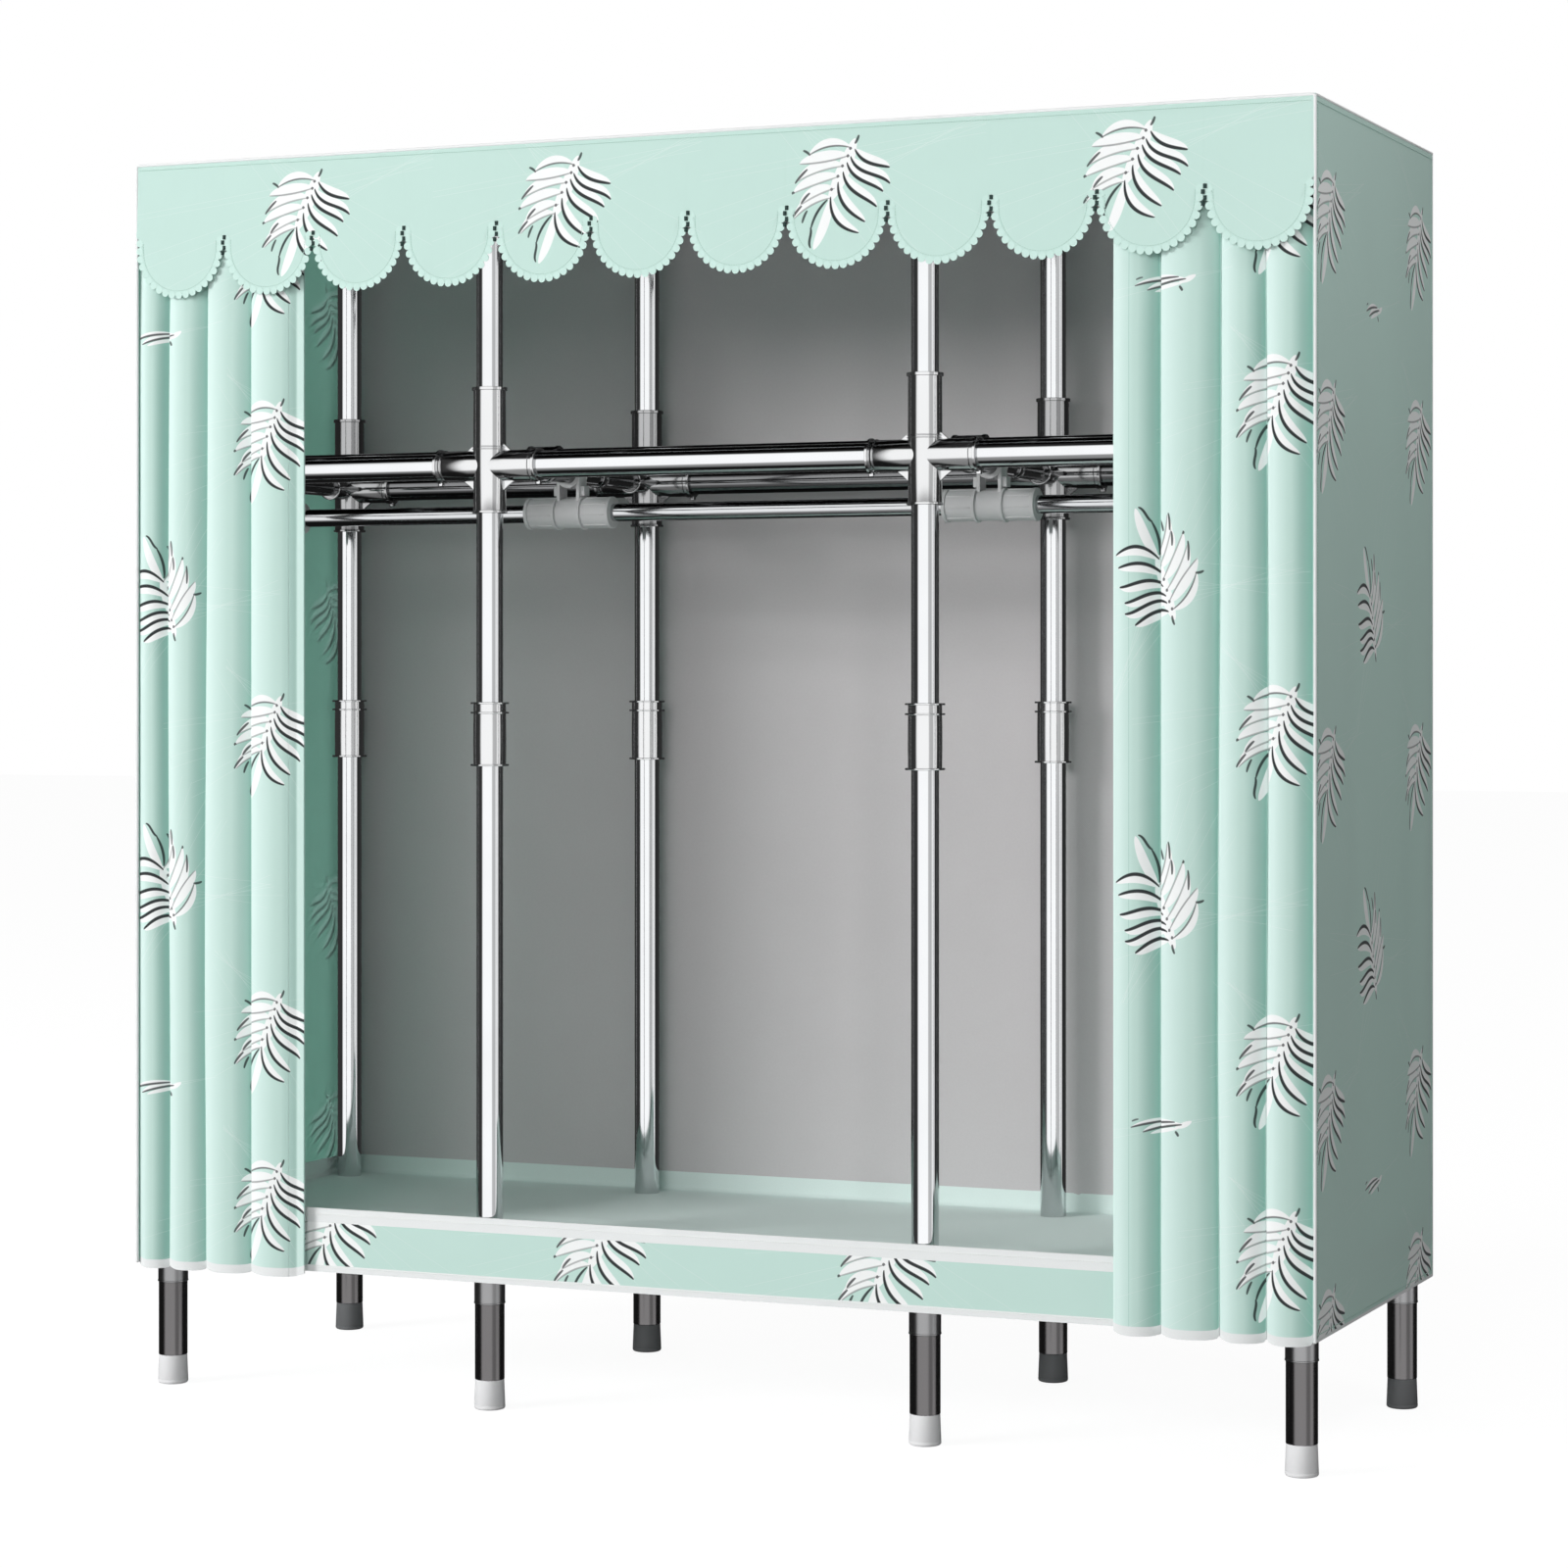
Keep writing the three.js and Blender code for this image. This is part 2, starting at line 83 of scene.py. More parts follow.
def placed(name, data):
    """A new object in the scene."""
    made = bpy.data.objects.new(name, data)
    bpy.context.collection.objects.link(made)
    return made


# The camera
def set_camera():
    data = bpy.data.cameras.new("camera")
    data.sensor_width = 36.0
    data.lens = 89.4
    data.shift_y = -0.0644
    data.clip_end = 100.0
    camera = placed("camera", data)
    camera.location = (2.129, -4.919, 0.979)
    camera.rotation_euler = (math.radians(90), 0, math.atan2(0.3955, 0.9184))
    bpy.context.scene.camera = camera


set_camera()
bpy.context.scene.view_settings.view_transform = "Standard"


# Materials, the world, the lamps and the floor
class Socket:
    """A shader socket that counts: an expression on it adds its Math nodes."""

    def __init__(self, finish, link):
        self.finish, self.link = finish, link

    def math(self, operation, *others, clamp=False):
        settings = {"operation": operation, "use_clamp": clamp}
        return self.finish.node("Math", settings, {i: v for i, v in enumerate((self, *others))})

    def __add__(self, other):
        return self.math("ADD", other)

    def __sub__(self, other):
        return self.math("SUBTRACT", other)

    def __rsub__(self, other):
        return self.finish.number(other).math("SUBTRACT", self)

    def __mul__(self, other):
        return self.math("MULTIPLY", other)

    def __truediv__(self, other):
        return self.math("DIVIDE", other)

    def __pow__(self, other):
        return self.math("POWER", other)

    __radd__, __rmul__ = __add__, __mul__

    def size(self):
        return self.math("ABSOLUTE")

    def most(self, other):
        return self.math("MAXIMUM", other)

    def least(self, other):
        return self.math("MINIMUM", other)

    def clipped(self):
        return self.math("ADD", 0.0, clamp=True)

    def wave(self):
        return self.math("SINE")


class Finish:
    """Builds one material, or the world, from nodes."""

    def __init__(self, name, tree=None):
        self.material = None
        if tree is None:
            self.material = bpy.data.materials.new(name)
            self.material.use_nodes = True
            tree = self.material.node_tree
        self.tree = tree
        tree.nodes.clear()

    def node(self, kind, settings=None, values=None, out=0):
        made = self.tree.nodes.new("ShaderNode" + kind)
        for key, value in (settings or {}).items():
            if key == "stops":
                self.set_stops(made.color_ramp, value)
            else:
                setattr(made, key, value)
        for key, value in (values or {}).items():
            self.feed(made.inputs[key], value)
        if out is None:
            return made
        return Socket(self, made.outputs[out])

    def feed(self, entry, value):
        if isinstance(value, Socket):
            self.tree.links.new(value.link, entry)
        elif isinstance(value, (tuple, list)) and entry.type == "RGBA" and len(value) == 3:
            entry.default_value = (*value, 1.0)
        else:
            entry.default_value = value

    def set_stops(self, ramp, stops):
        while len(ramp.elements) < len(stops):
            ramp.elements.new(1.0)
        for element, (place, level) in zip(ramp.elements, stops):
            element.position = place
            element.color = (level, level, level, 1.0)

    def number(self, value):
        return self.node("Math", {"operation": "ADD"}, {0: value, 1: 0.0})

    def mixed(self, share, first, second):
        """A colour between two colours."""
        settings = {"data_type": "RGBA", "clamp_factor": True}
        return self.node("Mix", settings, {0: share, 6: first, 7: second}, out=2)

    def noise(self, scale, detail=2.0, stretch=(1, 1, 1), place=None):
        """Noise over the object's own place, stretched, or over the place given."""
        if place is None:
            place = self.node("TexCoord", out="Object")
            place = self.node("Mapping", {}, {"Vector": place, "Scale": stretch})
        return self.node("TexNoise", {}, {"Vector": place, "Scale": scale, "Detail": detail})

    def parts(self, vector):
        split = self.node("SeparateXYZ", {}, {0: vector}, out=None)
        return [Socket(self, output) for output in split.outputs]

    def rays(self):
        """Whether a ray is a camera, a glossy or a transmission ray."""
        light = self.node("LightPath", out=None)
        kinds = ("Camera", "Glossy", "Transmission")
        return [Socket(self, light.outputs[f"Is {kind} Ray"]) for kind in kinds]

    def bumped(self, height, strength, distance):
        values = {"Strength": strength, "Distance": distance, "Height": height}
        return self.node("Bump", {}, values)

    def principled(self, values):
        values = {key.replace("_", " "): value for key, value in values.items()}
        return self.node("BsdfPrincipled", {}, values)

    def surface(self, **values):
        """Ends the material in one Principled shader."""
        self.node("OutputMaterial", {}, {"Surface": self.principled(values)}, out=None)
        return self.material

    def thin_surface(self, through, **values):
        """The same for thin cloth, which lets a share of the light through."""
        glow = self.node("BsdfTranslucent", {}, {"Color": values["Base_Color"]})
        both = self.node("MixShader", {}, {0: through, 1: self.principled(values), 2: glow})
        self.node("OutputMaterial", {}, {"Surface": both}, out=None)
        return self.material


def dimmed(colour, share):
    return tuple(c * share for c in colour)


def chrome(name, colour, dust=0.0):
    """Plated steel tube: fine drawn lines, faint wipe marks and a little dulling."""
    make = Finish(name)
    cloud = make.noise(9.0, 3.0)
    wiped = make.noise(60.0, 4.0, (1, 1, 0.25))
    drawn = make.noise(900.0, 2.0, (1, 1, 0.04))
    tint = make.mixed(cloud, dimmed(colour, 0.93), tuple(min(1, c * 1.05) for c in colour))
    rough = 0.03 + dust + 0.05 * wiped + 0.03 * cloud
    bump = make.bumped(drawn * 0.3 + wiped * 0.3, 0.02, 0.0002)
    return make.surface(Base_Color=tint, Metallic=1.0, Roughness=rough, Normal=bump)


def moulded(name, colour, rough):
    """Moulded plastic: fine pitted skin, faint flow marks and a slightly dirty tone."""
    make = Finish(name)
    flow = make.noise(22.0, 3.0, (1, 1, 0.5))
    pits = make.noise(700.0)
    tint = make.mixed(flow, dimmed(colour, 0.88), colour)
    bump = make.bumped(pits + flow * 2.0, 0.12, 0.0006)
    return make.surface(Base_Color=tint, Roughness=rough + 0.15 * flow, Normal=bump)


def silvered(name, colour):
    """Moulded plastic with a bright metal skin: softer than the tubes, with flow marks and fine pits."""
    make = Finish(name)
    flow = make.noise(26.0, 3.0, (1, 1, 0.4))
    pits = make.noise(800.0)
    rubbed = make.noise(6.0)
    tint = make.mixed(rubbed, dimmed(colour, 0.9), colour)
    bump = make.bumped(pits * 0.3 + flow * 1.2, 0.05, 0.0004)
    return make.surface(Base_Color=tint, Metallic=1.0, Roughness=0.09 + 0.07 * flow, Normal=bump)


def set_world():
    world = bpy.data.worlds.new("studio")
    world.use_nodes = True
    bpy.context.scene.world = world
    make = Finish("studio", world.node_tree)
    direction = make.parts(make.node("TexCoord", out="Generated"))
    turn = direction[0].math("ARCTAN2", direction[1] * -1.0) / (2 * math.pi) + 0.5
    # What a polished tube mirrors all round, from behind over the left to the front and the right
    levels = ((-180, 0.03), (-46, 0.03), (-33, 0.95), (44, 0.95), (50, 0.48), (76, 0.44), (80, 0.85),
              (102, 0.85), (108, 0.02), (180, 0.03))
    stops = [((degrees + 180) / 360, level) for degrees, level in levels]
    around = make.node("ValToRGB", {"stops": stops}, {0: turn})
    stops = ((0.0, 0.20), (0.22, 0.30), (0.29, 1.0), (0.79, 1.0), (0.85, 0.02))
    above = make.node("ValToRGB", {"stops": stops}, {0: direction[2] * 0.5 + 0.5})
    mirrored = make.node("VectorMath", {"operation": "MULTIPLY"}, {0: around, 1: above})
    camera, glossy, through = make.rays()
    stops = ((0.0, 1.06), (0.42, 1.0), (0.6, 0.66), (0.8, 0.30), (1.0, 0.12))
    aside = make.node("ValToRGB", {"stops": stops}, {0: direction[0] * 0.5 + 0.5})
    soft = make.node("Background", {}, {"Color": aside, "Strength": 0.385})
    gleam = make.node("Background", {}, {"Color": mirrored, "Strength": 1.6})
    white = make.node("Background", {}, {"Color": (1.0, 1.0, 1.0), "Strength": 1.0})
    shown = make.node("MixShader", {}, {0: glossy, 1: soft, 2: gleam})
    shown = make.node("MixShader", {}, {0: camera.most(through), 1: shown, 2: white})
    make.node("OutputWorld", {}, {"Surface": shown}, out=None)


def add_lamp(name, place, aim, size, power):
    data = bpy.data.lights.new(name, "AREA")
    data.shape, data.size, data.size_y = "RECTANGLE", size[0], size[1]
    data.energy = power
    lamp = placed(name, data)
    lamp.location = place
    lamp.rotation_euler = (Vector(aim) - Vector(place)).to_track_quat("-Z", "Y").to_euler()
    lamp.visible_camera = False
    lamp.visible_glossy = False


set_world()
add_lamp("key", (-7.4, -8.2, 3.6), aim=(0, 0, 0.9), size=(4.2, 3.4), power=790)
add_lamp("fill", (1.7, -9.5, 3.6), aim=(0, 0, 0.6), size=(4.2, 4.2), power=220)
add_lamp("side", (1.9, -0.5, 2.5), aim=(0.85, 0.0, 1.45), size=(0.5, 0.5), power=7.5)


def add_floor():
    mesh = bpy.data.meshes.new("floor")
    reach = 30.0
    mesh.from_pydata([(-reach, -reach, 0), (reach, -reach, 0), (reach, reach, 0), (-reach, reach, 0)],
                     [], [(0, 1, 2, 3)])
    floor = placed("floor", mesh)
    make = Finish("floor")
    paper = make.mixed(make.noise(40.0, 3.0), (0.62, 0.62, 0.62), (0.66, 0.66, 0.66))
    matt = make.node("BsdfDiffuse", {}, {"Color": paper})
    glow = make.node("Emission", {}, {"Color": (1.0, 1.0, 1.0), "Strength": 1.285})
    camera, glossy, through = make.rays()
    seen = camera.most(glossy).most(through)
    shown = make.node("MixShader", {}, {0: seen * 0.72, 1: matt, 2: glow})
    make.node("OutputMaterial", {}, {"Surface": shown}, out=None)
    mesh.materials.append(make.material)
    floor.visible_glossy = False


add_floor()


# Shapes
class Shape:
    """Gathers the faces of one piece, in millimetres, each with the number of its finish."""

    def __init__(self):
        self.points, self.faces, self.finish = [], [], []

    def add(self, points, faces, finish=0):
        start = len(self.points)
        self.points += [tuple(p) for p in points]
        self.faces += [tuple(start + i for i in face) for face in faces]
        self.finish += [finish] * len(faces)

    def turned(self, outline, start, along, sides=40, finish=0):
        """A turned form: (distance, radius) pairs along an axis; ends at radius 0 close it."""
        along = Vector(along).normalized()
        side = along.orthogonal().normalized()
        other = along.cross(side)
        start = Vector(start)
        points, rings, faces = [], [], []
        for distance, radius in outline:
            middle = start + along * distance
            if radius < 1e-6:
                rings.append([len(points)] * sides)
                points.append(middle)
                continue
            ring = []
            for step in range(sides):
                turn = 2 * math.pi * step / sides
                ring.append(len(points))
                points.append(middle + side * (radius * math.cos(turn)) + other * (radius * math.sin(turn)))
            rings.append(ring)
        for low, high in zip(rings, rings[1:]):
            for step in range(sides):
                after = (step + 1) % sides
                corners = [low[step], low[after], high[after], high[step]]
                face = [c for i, c in enumerate(corners) if c not in corners[:i]]
                if len(face) > 2:
                    faces.append(face)
        self.add(points, faces, finish)

    def tube(self, first, last, radius, sides=40):
        """A closed round bar with softened ends."""
        first, last = Vector(first), Vector(last)
        length = (last - first).length
        lip = 0.8
        self.turned([(0, 0), (0, radius - lip), (lip, radius), (length - lip, radius),
                     (length, radius - lip), (length, 0)], first, last - first, sides)

    def block(self, low, high, edge):
        """A box with rounded edges."""
        cube = bmesh.new()
        bmesh.ops.create_cube(cube, size=1.0)
        for vert in cube.verts:
            vert.co = Vector([(a + b) / 2 + c * (b - a) for a, b, c in zip(low, high, vert.co)])
        bmesh.ops.bevel(cube, geom=list(cube.edges), offset=edge, segments=2, affect="EDGES", profile=0.5)
        cube.verts.index_update()
        self.add([v.co[:] for v in cube.verts], [[v.index for v in f.verts] for f in cube.faces])
        cube.free()

    def prism(self, outline, depth):
        """A flat outline of 3-D points pushed along a vector."""
        count = len(outline)
        near = [Vector(p) for p in outline]
        far = [p + Vector(depth) for p in near]
        faces = [tuple(range(count)), tuple(range(2 * count - 1, count - 1, -1))]
        faces += [(i, (i + 1) % count, count + (i + 1) % count, count + i) for i in range(count)]
        self.add(near + far, faces)

    def sheet(self, rows, closed=False):
        """A grid of points given as rows."""
        width = len(rows[0])
        points = [p for row in rows for p in row]
        faces = []
        for r in range(len(rows) - 1):
            for c in range(width if closed else width - 1):
                d = (c + 1) % width
                faces.append((r * width + c, r * width + d, (r + 1) * width + d, (r + 1) * width + c))
        self.add(points, faces)


def plain_mesh(name, shape, finishes):
    """The shape's faces as a mesh in metres, with its finishes."""
    mesh = bpy.data.meshes.new(name)
    mesh.from_pydata([tuple(c / 1000 for c in p) for p in shape.points], [], shape.faces)
    for finish in finishes:
        mesh.materials.append(finish)
    return mesh


def smoothed(mesh, angle):
    """Shades a mesh smooth, apart from the edges sharper than an angle."""
    mesh.shade_smooth()
    mesh.set_sharp_from_angle(angle=math.radians(angle))


def piece(name, shape, finishes, stands_for, body="frame"):
    """Makes the shape an object, rides it on its body and hides the solids that it stands for."""
    mesh = plain_mesh(name, shape, finishes)
    mesh.polygons.foreach_set("material_index", shape.finish)
    work = bmesh.new()
    work.from_mesh(mesh)
    bmesh.ops.remove_doubles(work, verts=work.verts, dist=0.00001)
    bmesh.ops.recalc_face_normals(work, faces=work.faces)
    work.to_mesh(mesh)
    work.free()
    made = placed(name, mesh)
    smoothed(mesh, 38)
    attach(made, body)
    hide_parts(*stands_for)
    return made


def applied(made):
    """Turns the object's modifiers into its plain mesh."""
    graph = bpy.context.evaluated_depsgraph_get()
    done = bpy.data.meshes.new_from_object(made.evaluated_get(graph), preserve_all_data_layers=True,
                                           depsgraph=graph)
    old = made.data
    made.modifiers.clear()
    made.data = done
    name = old.name
    bpy.data.meshes.remove(old)
    done.name = name


def arc(radius, start, sweep, count, middle):
    """Points round a middle, from one turn over a sweep."""
    points = []
    for step in range(count + 1):
        turn = start + sweep * step / count
        points.append((middle[0] + radius * math.cos(turn), middle[1] + radius * math.sin(turn)))
    return points


# Finishes of steel and plastic
tube_chrome = chrome("tube_chrome", (0.62, 0.63, 0.64))
# a much darker copy of the tube chrome for the legs: painted shade on the lower tubes
leg_chrome = chrome("leg_chrome", (0.135, 0.130, 0.132), 0.14)
sleeve_grey = chrome("sleeve_grey", (0.26, 0.26, 0.265), 0.22)
bar_chrome = chrome("bar_chrome", (0.50, 0.51, 0.52), 0.02)
shade_chrome = chrome("shade_chrome", (0.17, 0.172, 0.176), 0.03)
joint_plastic = silvered("joint_plastic", (0.62, 0.625, 0.63))
joint_shade = silvered("joint_shade", (0.34, 0.343, 0.347))
bracket_plastic = moulded("bracket_plastic", (0.68, 0.685, 0.69), 0.42)
white_cap = moulded("white_cap", (0.86, 0.86, 0.87), 0.40)
# a dark copy of the white cap for the back row: painted shade
grey_cap = moulded("grey_cap", (0.16, 0.165, 0.17), 0.48)


# Outlines of turned forms, as pairs of distance along the axis and radius
LEG_OUTLINE = [
    (4.5, 0), (4.5, 17.2), (5.3, TUBE), (40, TUBE), (40, 19.4), (40.6, LEG), (160, LEG), (160, TUBE)]
POST_OUTLINE = [(160, TUBE), (1694.2, TUBE), (1695, 17.2), (1695, 0)]
COUPLING_OUTLINE = [
    (0, TUBE), (0, 25.5), (0.5, 26), (2.0, 26), (2.5, 25.5), (2.5, SLEEVE), (30, 22.3), (56, 22.2),
    (70.6, SLEEVE), (70.6, 25.5), (71.1, 26), (72.5, 26), (73, 25.5), (73, SLEEVE), (83.5, SLEEVE),
    (83.5, 25.5), (84, 26), (85.5, 26), (86, 25.5), (86, TUBE)]
CAP_OUTLINE = [
    (0, 0), (0, 18.2), (0.5, 19.6), (1.6, 20.7), (3, 21), (5, 21), (5.6, 20.6), (6.2, 20.9), (36, 19.7),
    (39.2, 19.6), (40.4, 19.2), (41, 18.6), (41, 18.05), (39, TUBE), (6, TUBE), (6, 0)]
SHELF_SLEEVE_OUTLINE = [
    (-64, TUBE), (-64, 21.4), (-63.2, SLEEVE), (22, 22.2), (102, SLEEVE), (106, SLEEVE), (106, 18.4),
    (104, TUBE)]
SHELF_ARM_OUTLINE = [
    (0, 0), (0, 20.4), (24, ARM), (75, ARM), (76, 20.4), (76, 18.4), (74, TUBE), (40, TUBE), (40, 0)]
BAR_SOCKET_OUTLINE = [(16, 0), (16, 15.6), (59, SOCKET), (60, 15.4), (60, BAR), (50, BAR), (50, 0)]
CLAW_OUTLINE = [(-9, BAR), (-9, 14.6), (-8.2, 15.2), (8.2, 15.2), (9, 14.6), (9, BAR)]
LEG_SLEEVE_OUTLINE = [
    (142, TUBE), (142, 20.2), (142.7, LEG_SLEEVE), (150, LEG_SLEEVE), (229.4, LEG_SLEEVE), (230, 20.2),
    (230, TUBE)]
TOP_SLEEVE_OUTLINE = [
    (1614.5, TUBE), (1614.5, 21.2), (1615.3, SLEEVE), (1697.2, SLEEVE), (1698.4, 20.8), (1698.4, 0)]
ROD_CUP_OUTLINE = [(831.5, ROD + 0.3), (831.5, 8.8), (832, CUP), (839.6, CUP), (839.6, ROD + 0.3)]


# The steel frame
def add_posts():
    """Each post, its leg under the cover and the coupling in its middle."""
    for row, y in ROWS.items():
        for n, x in enumerate(POST_X, 1):
            node = f"post_{row}_{n}"
            shape = Shape()
            # the legs take the darker chrome: painted shade
            shape.turned(LEG_OUTLINE, (x, y, 0), Z, sides=56, finish=1)
            shape.turned(POST_OUTLINE, (x, y, 0), Z, sides=56)
            piece(f"upright_{row}_{n}", shape, [tube_chrome, leg_chrome], [node])
            coupling = Shape()
            coupling.turned(COUPLING_OUTLINE, (x, y, COUPLING_Z), Z, sides=56)
            piece(f"coupling_{row}_{n}", coupling, [joint_plastic], [node])


def add_caps():
    for row, y in ROWS.items():
        # the back row's caps take the dark copy: painted shade
        slot, finish = ("white_cap", white_cap) if row == "front" else ("grey_cap", grey_cap)
        for n, x in enumerate(POST_X, 1):
            cap = Shape()
            cap.turned(CAP_OUTLINE, (x, y, 0), Z, sides=56)
            piece(f"cap_{row}_{n}", cap, [finish], [f"foot_cap_{row}_{n}"])


add_posts()
add_caps()


# The cloth's feather print
def feather_strokes():
    """Each stroke: start, end, bulge, half the ink line, leaf beside it, ink darkness, sway."""
    strokes = [((19.4, 66), (-17, -14), 1.5, 0.0, 9.5, 0.0, 0.0)]
    for start, end, bulge, sway in (
            ((18.5, 52), (67, 26.3), 7.0, 3.0), ((12.5, 43), (67.5, 5.3), 4.7, 8.0),
            ((7.5, 35.6), (58, -4.4), 5.8, 6.0), ((2.2, 24), (49.3, -23.7), 7.0, 6.0),
            ((-4.6, 11), (33.5, -42.3), 10.5, 2.5), ((-14.9, -7.5), (24.8, -56), 13.4, 1.0)):
        strokes.append((start, end, -bulge, 2.3, -11.0, 1.0, sway))
    for start, end, bulge, leaf, tone in (
            ((-46, 47), (14, 54), 6.8, 10.5, 0.8), ((-58.5, 36.7), (9.8, 44), -2.5, -14.0, 0.6),
            ((-62, 14), (4, 31), 3.5, 14.0, 0.5), ((-67, -0.5), (-2, 18), 0.8, 13.5, 0.5),
            ((-58, -17), (-9, 3), 2.0, 13.0, 0.5), ((-66, -34), (-14, -9), 4.5, 12.5, 0.55)):
        strokes.append((start, end, bulge, 1.2, leaf, tone, 0.0))
    for start, end in (
            ((-53.5, 54), (-43.5, 47.2)), ((-64.7, 11.7), (-47.2, 29.5)), ((-56, -15), (-43.7, -1.2)),
            ((-69, -34), (-55, -17.3)), ((-54.2, -40), (-47.2, -23.7)), ((-69, -1.5), (-65, 0.2))):
        strokes.append((start, end, 0.8, 1.7, 0.0, 0.9, 0.0))
    for x, y in ((12.5, 53), (9, 43.6), (1.5, 31), (-4.8, 18), (-13.5, 1.5)):
        strokes.append(((x - 1.6, y - 1.0), (x + 1.6, y + 1.4), 0.1, 1.9, 0.0, 0.85, 0.0))
    strokes.append(((24.2, 70), (18.6, 59), 0.6, 1.8, 0.0, 0.9, 0.0))
    strokes.append(((-19, -11), (-42, -48), -3.6, 1.8, 0.0, 0.95, 0.0))
    strokes.append(((-42.4, -46), (-42, -73), -0.8, 1.8, 0.0, 0.95, -3.0))
    strokes.append(((-14, -9), (-38, -75), 2.6, 0.0, 6.6, 0.0, 0.0))
    # a tip of a leaf by itself, kept far above the whole feather in the print's own place
    for start, end, bulge, ink, leaf, tone in (
            ((-39, 897.5), (19, 906.6), 2.2, 1.5, 5.0, 0.9), ((-24.5, 892), (28, 903.8), 1.6, 1.5, 7.0, 0.9),
            ((-16, 890), (24, 899), 1.2, 0.0, 2.6, 0.0), ((19, 900), (40, 908.5), -1.0, 0.0, 3.4, 0.0),
            ((-37.5, 905.2), (-29, 908.2), 0.4, 1.1, 0.0, 0.8),
            ((19.2, 895.4), (23.4, 889), 0.2, 1.7, 0.0, 0.9)):
        strokes.append((start, end, bulge, ink, leaf, tone, 0.0))
    return strokes


def feather(make, u, v):
    """The feather's white and its dark lines, as two masks over a place in millimetres."""
    spot = make.node("CombineXYZ", {}, {0: u, 1: v, 2: 0.0})
    crisp = 1.1
    white = dark = None
    for start, end, bulge, ink, leaf, tone, sway in feather_strokes():
        a, b = Vector((*start, 0)), Vector((*end, 0))
        length = (b - a).length
        d = (b - a) / length
        outward = Vector((-d.y, d.x, 0)) * math.copysign(1, bulge)
        settings = {"operation": "DOT_PRODUCT"}
        dot = make.node("VectorMath", settings, {0: spot, 1: tuple(d)}, out="Value")
        side = make.node("VectorMath", settings, {0: spot, 1: tuple(outward)}, out="Value")
        t = (dot - a.dot(d)) / length
        bulk = (4.0 * t * (1.0 - t)).most(0.0)
        off = side - a.dot(outward) - (abs(bulge) + sway - t * (2 * sway) if sway else abs(bulge)) * bulk
        if leaf:
            if ink:
                inside = off if leaf > 0 else 0.0 - off
                reach = (bulk ** 0.62) * (abs(leaf) + 0.6) - 0.6
                mask = ((reach - inside).least(inside + 0.4) * crisp + 0.5).clipped()
            else:
                mask = (((bulk ** 0.5) * (leaf + 0.6) - 0.6 - off.size()) * crisp + 0.5).clipped()
            white = mask if white is None else white.most(mask)
        if ink:
            mask = (((bulk ** 0.22) * (ink + 0.4) - 0.4 - off.size()) * crisp + 0.5).clipped() * tone
            dark = mask if dark is None else dark.most(mask)
    return white, dark


def cloth_place(make):
    """The cloth's own UV map, which holds metres: across, along, and both as one place."""
    across, along, _ = make.parts(make.node("UVMap", {"uv_map": "cloth"}))
    return across, along, make.node("CombineXYZ", {}, {0: across, 1: along, 2: 0.0})


def weave(across, along, pitch):
    """The height of a plain weave with a pitch in millimetres."""
    scale = 2 * math.pi * 1000 / pitch
    return (across * scale).wave() * (along * (scale / 2)).wave()


def printed_cloth(name, colour, printed=True, through=0.04):
    """Smooth woven polyester: mint ground, a little slubbing, where wanted the feather print, and on gathered
    cloth painted shade in the creases and a painted highlight on the rims.
    """
    make = Finish(name)
    across, along, place = cloth_place(make)
    slub = make.noise(420.0, place=place)
    cloud = make.noise(7.0, place=place)
    tint = make.mixed(cloud * 0.6 + slub * 0.4, dimmed(colour, 0.955), colour)
    # painted shade in the folds' creases and a painted highlight on their rims, by the shares in the fold
    # layer
    crease, rim, _ = make.parts(make.node("UVMap", {"uv_map": "fold"}))
    deep = make.node("VectorMath", {"operation": "MULTIPLY"}, {0: tint, 1: (0.40, 0.60, 0.56)}, out="Vector")
    tint = make.mixed(crease * 0.75, tint, deep)
    tint = make.mixed(rim * 0.55, tint, (0.80, 0.96, 0.93))
    if printed:
        u, v, _ = make.parts(make.node("UVMap", {"uv_map": "print"}))
        white, dark = feather(make, u * 100.0, v * 100.0)
        tint = make.mixed(white * 0.96, tint, (0.965, 0.975, 0.975))
        tint = make.mixed(dark * 0.98, tint, (0.020, 0.024, 0.026))
    crumple = make.noise(26.0, 3.0, place=place)
    bump = make.bumped(weave(across, along, 1.1) * 0.1225 + slub * 0.3 + crumple * 1.6, 0.10, 0.002)
    return make.thin_surface(through, Base_Color=tint, Roughness=0.78 + 0.1 * slub, Normal=bump,
                             Sheen_Weight=0.08, Specular_IOR_Level=0.25)


def plain_binding(name, colour):
    """Plain woven tape, trim or thread with a little slubbing."""
    make = Finish(name)
    across, along, place = cloth_place(make)
    slub = make.noise(500.0, place=place)
    tint = make.mixed(slub, dimmed(colour, 0.94), colour)
    bump = make.bumped(weave(across, along, 0.9) * 0.5 + slub, 0.12, 0.001)
    return make.surface(Base_Color=tint, Roughness=0.72, Normal=bump, Sheen_Weight=0.08,
                        Specular_IOR_Level=0.25)


def pressed_lining(name, colour):
    """Grey non-woven cloth: matted fibres pressed with a grid of small bond points."""
    make = Finish(name)
    across, along, place = cloth_place(make)
    fibres = make.noise(300.0, 4.0, place=place)
    cloud = make.noise(5.0, place=place)
    tint = make.mixed(fibres * 0.5 + cloud * 0.5, dimmed(colour, 0.86), colour)
    pitch = 2 * math.pi * 1000 / 3.0
    bonds = ((across * pitch).wave() * (along * pitch).wave()).most(0.0)
    bump = make.bumped(fibres + bonds * 0.8, 0.2, 0.0008)
    return make.surface(Base_Color=tint, Roughness=0.85, Normal=bump, Sheen_Weight=0.05,
                        Specular_IOR_Level=0.2)


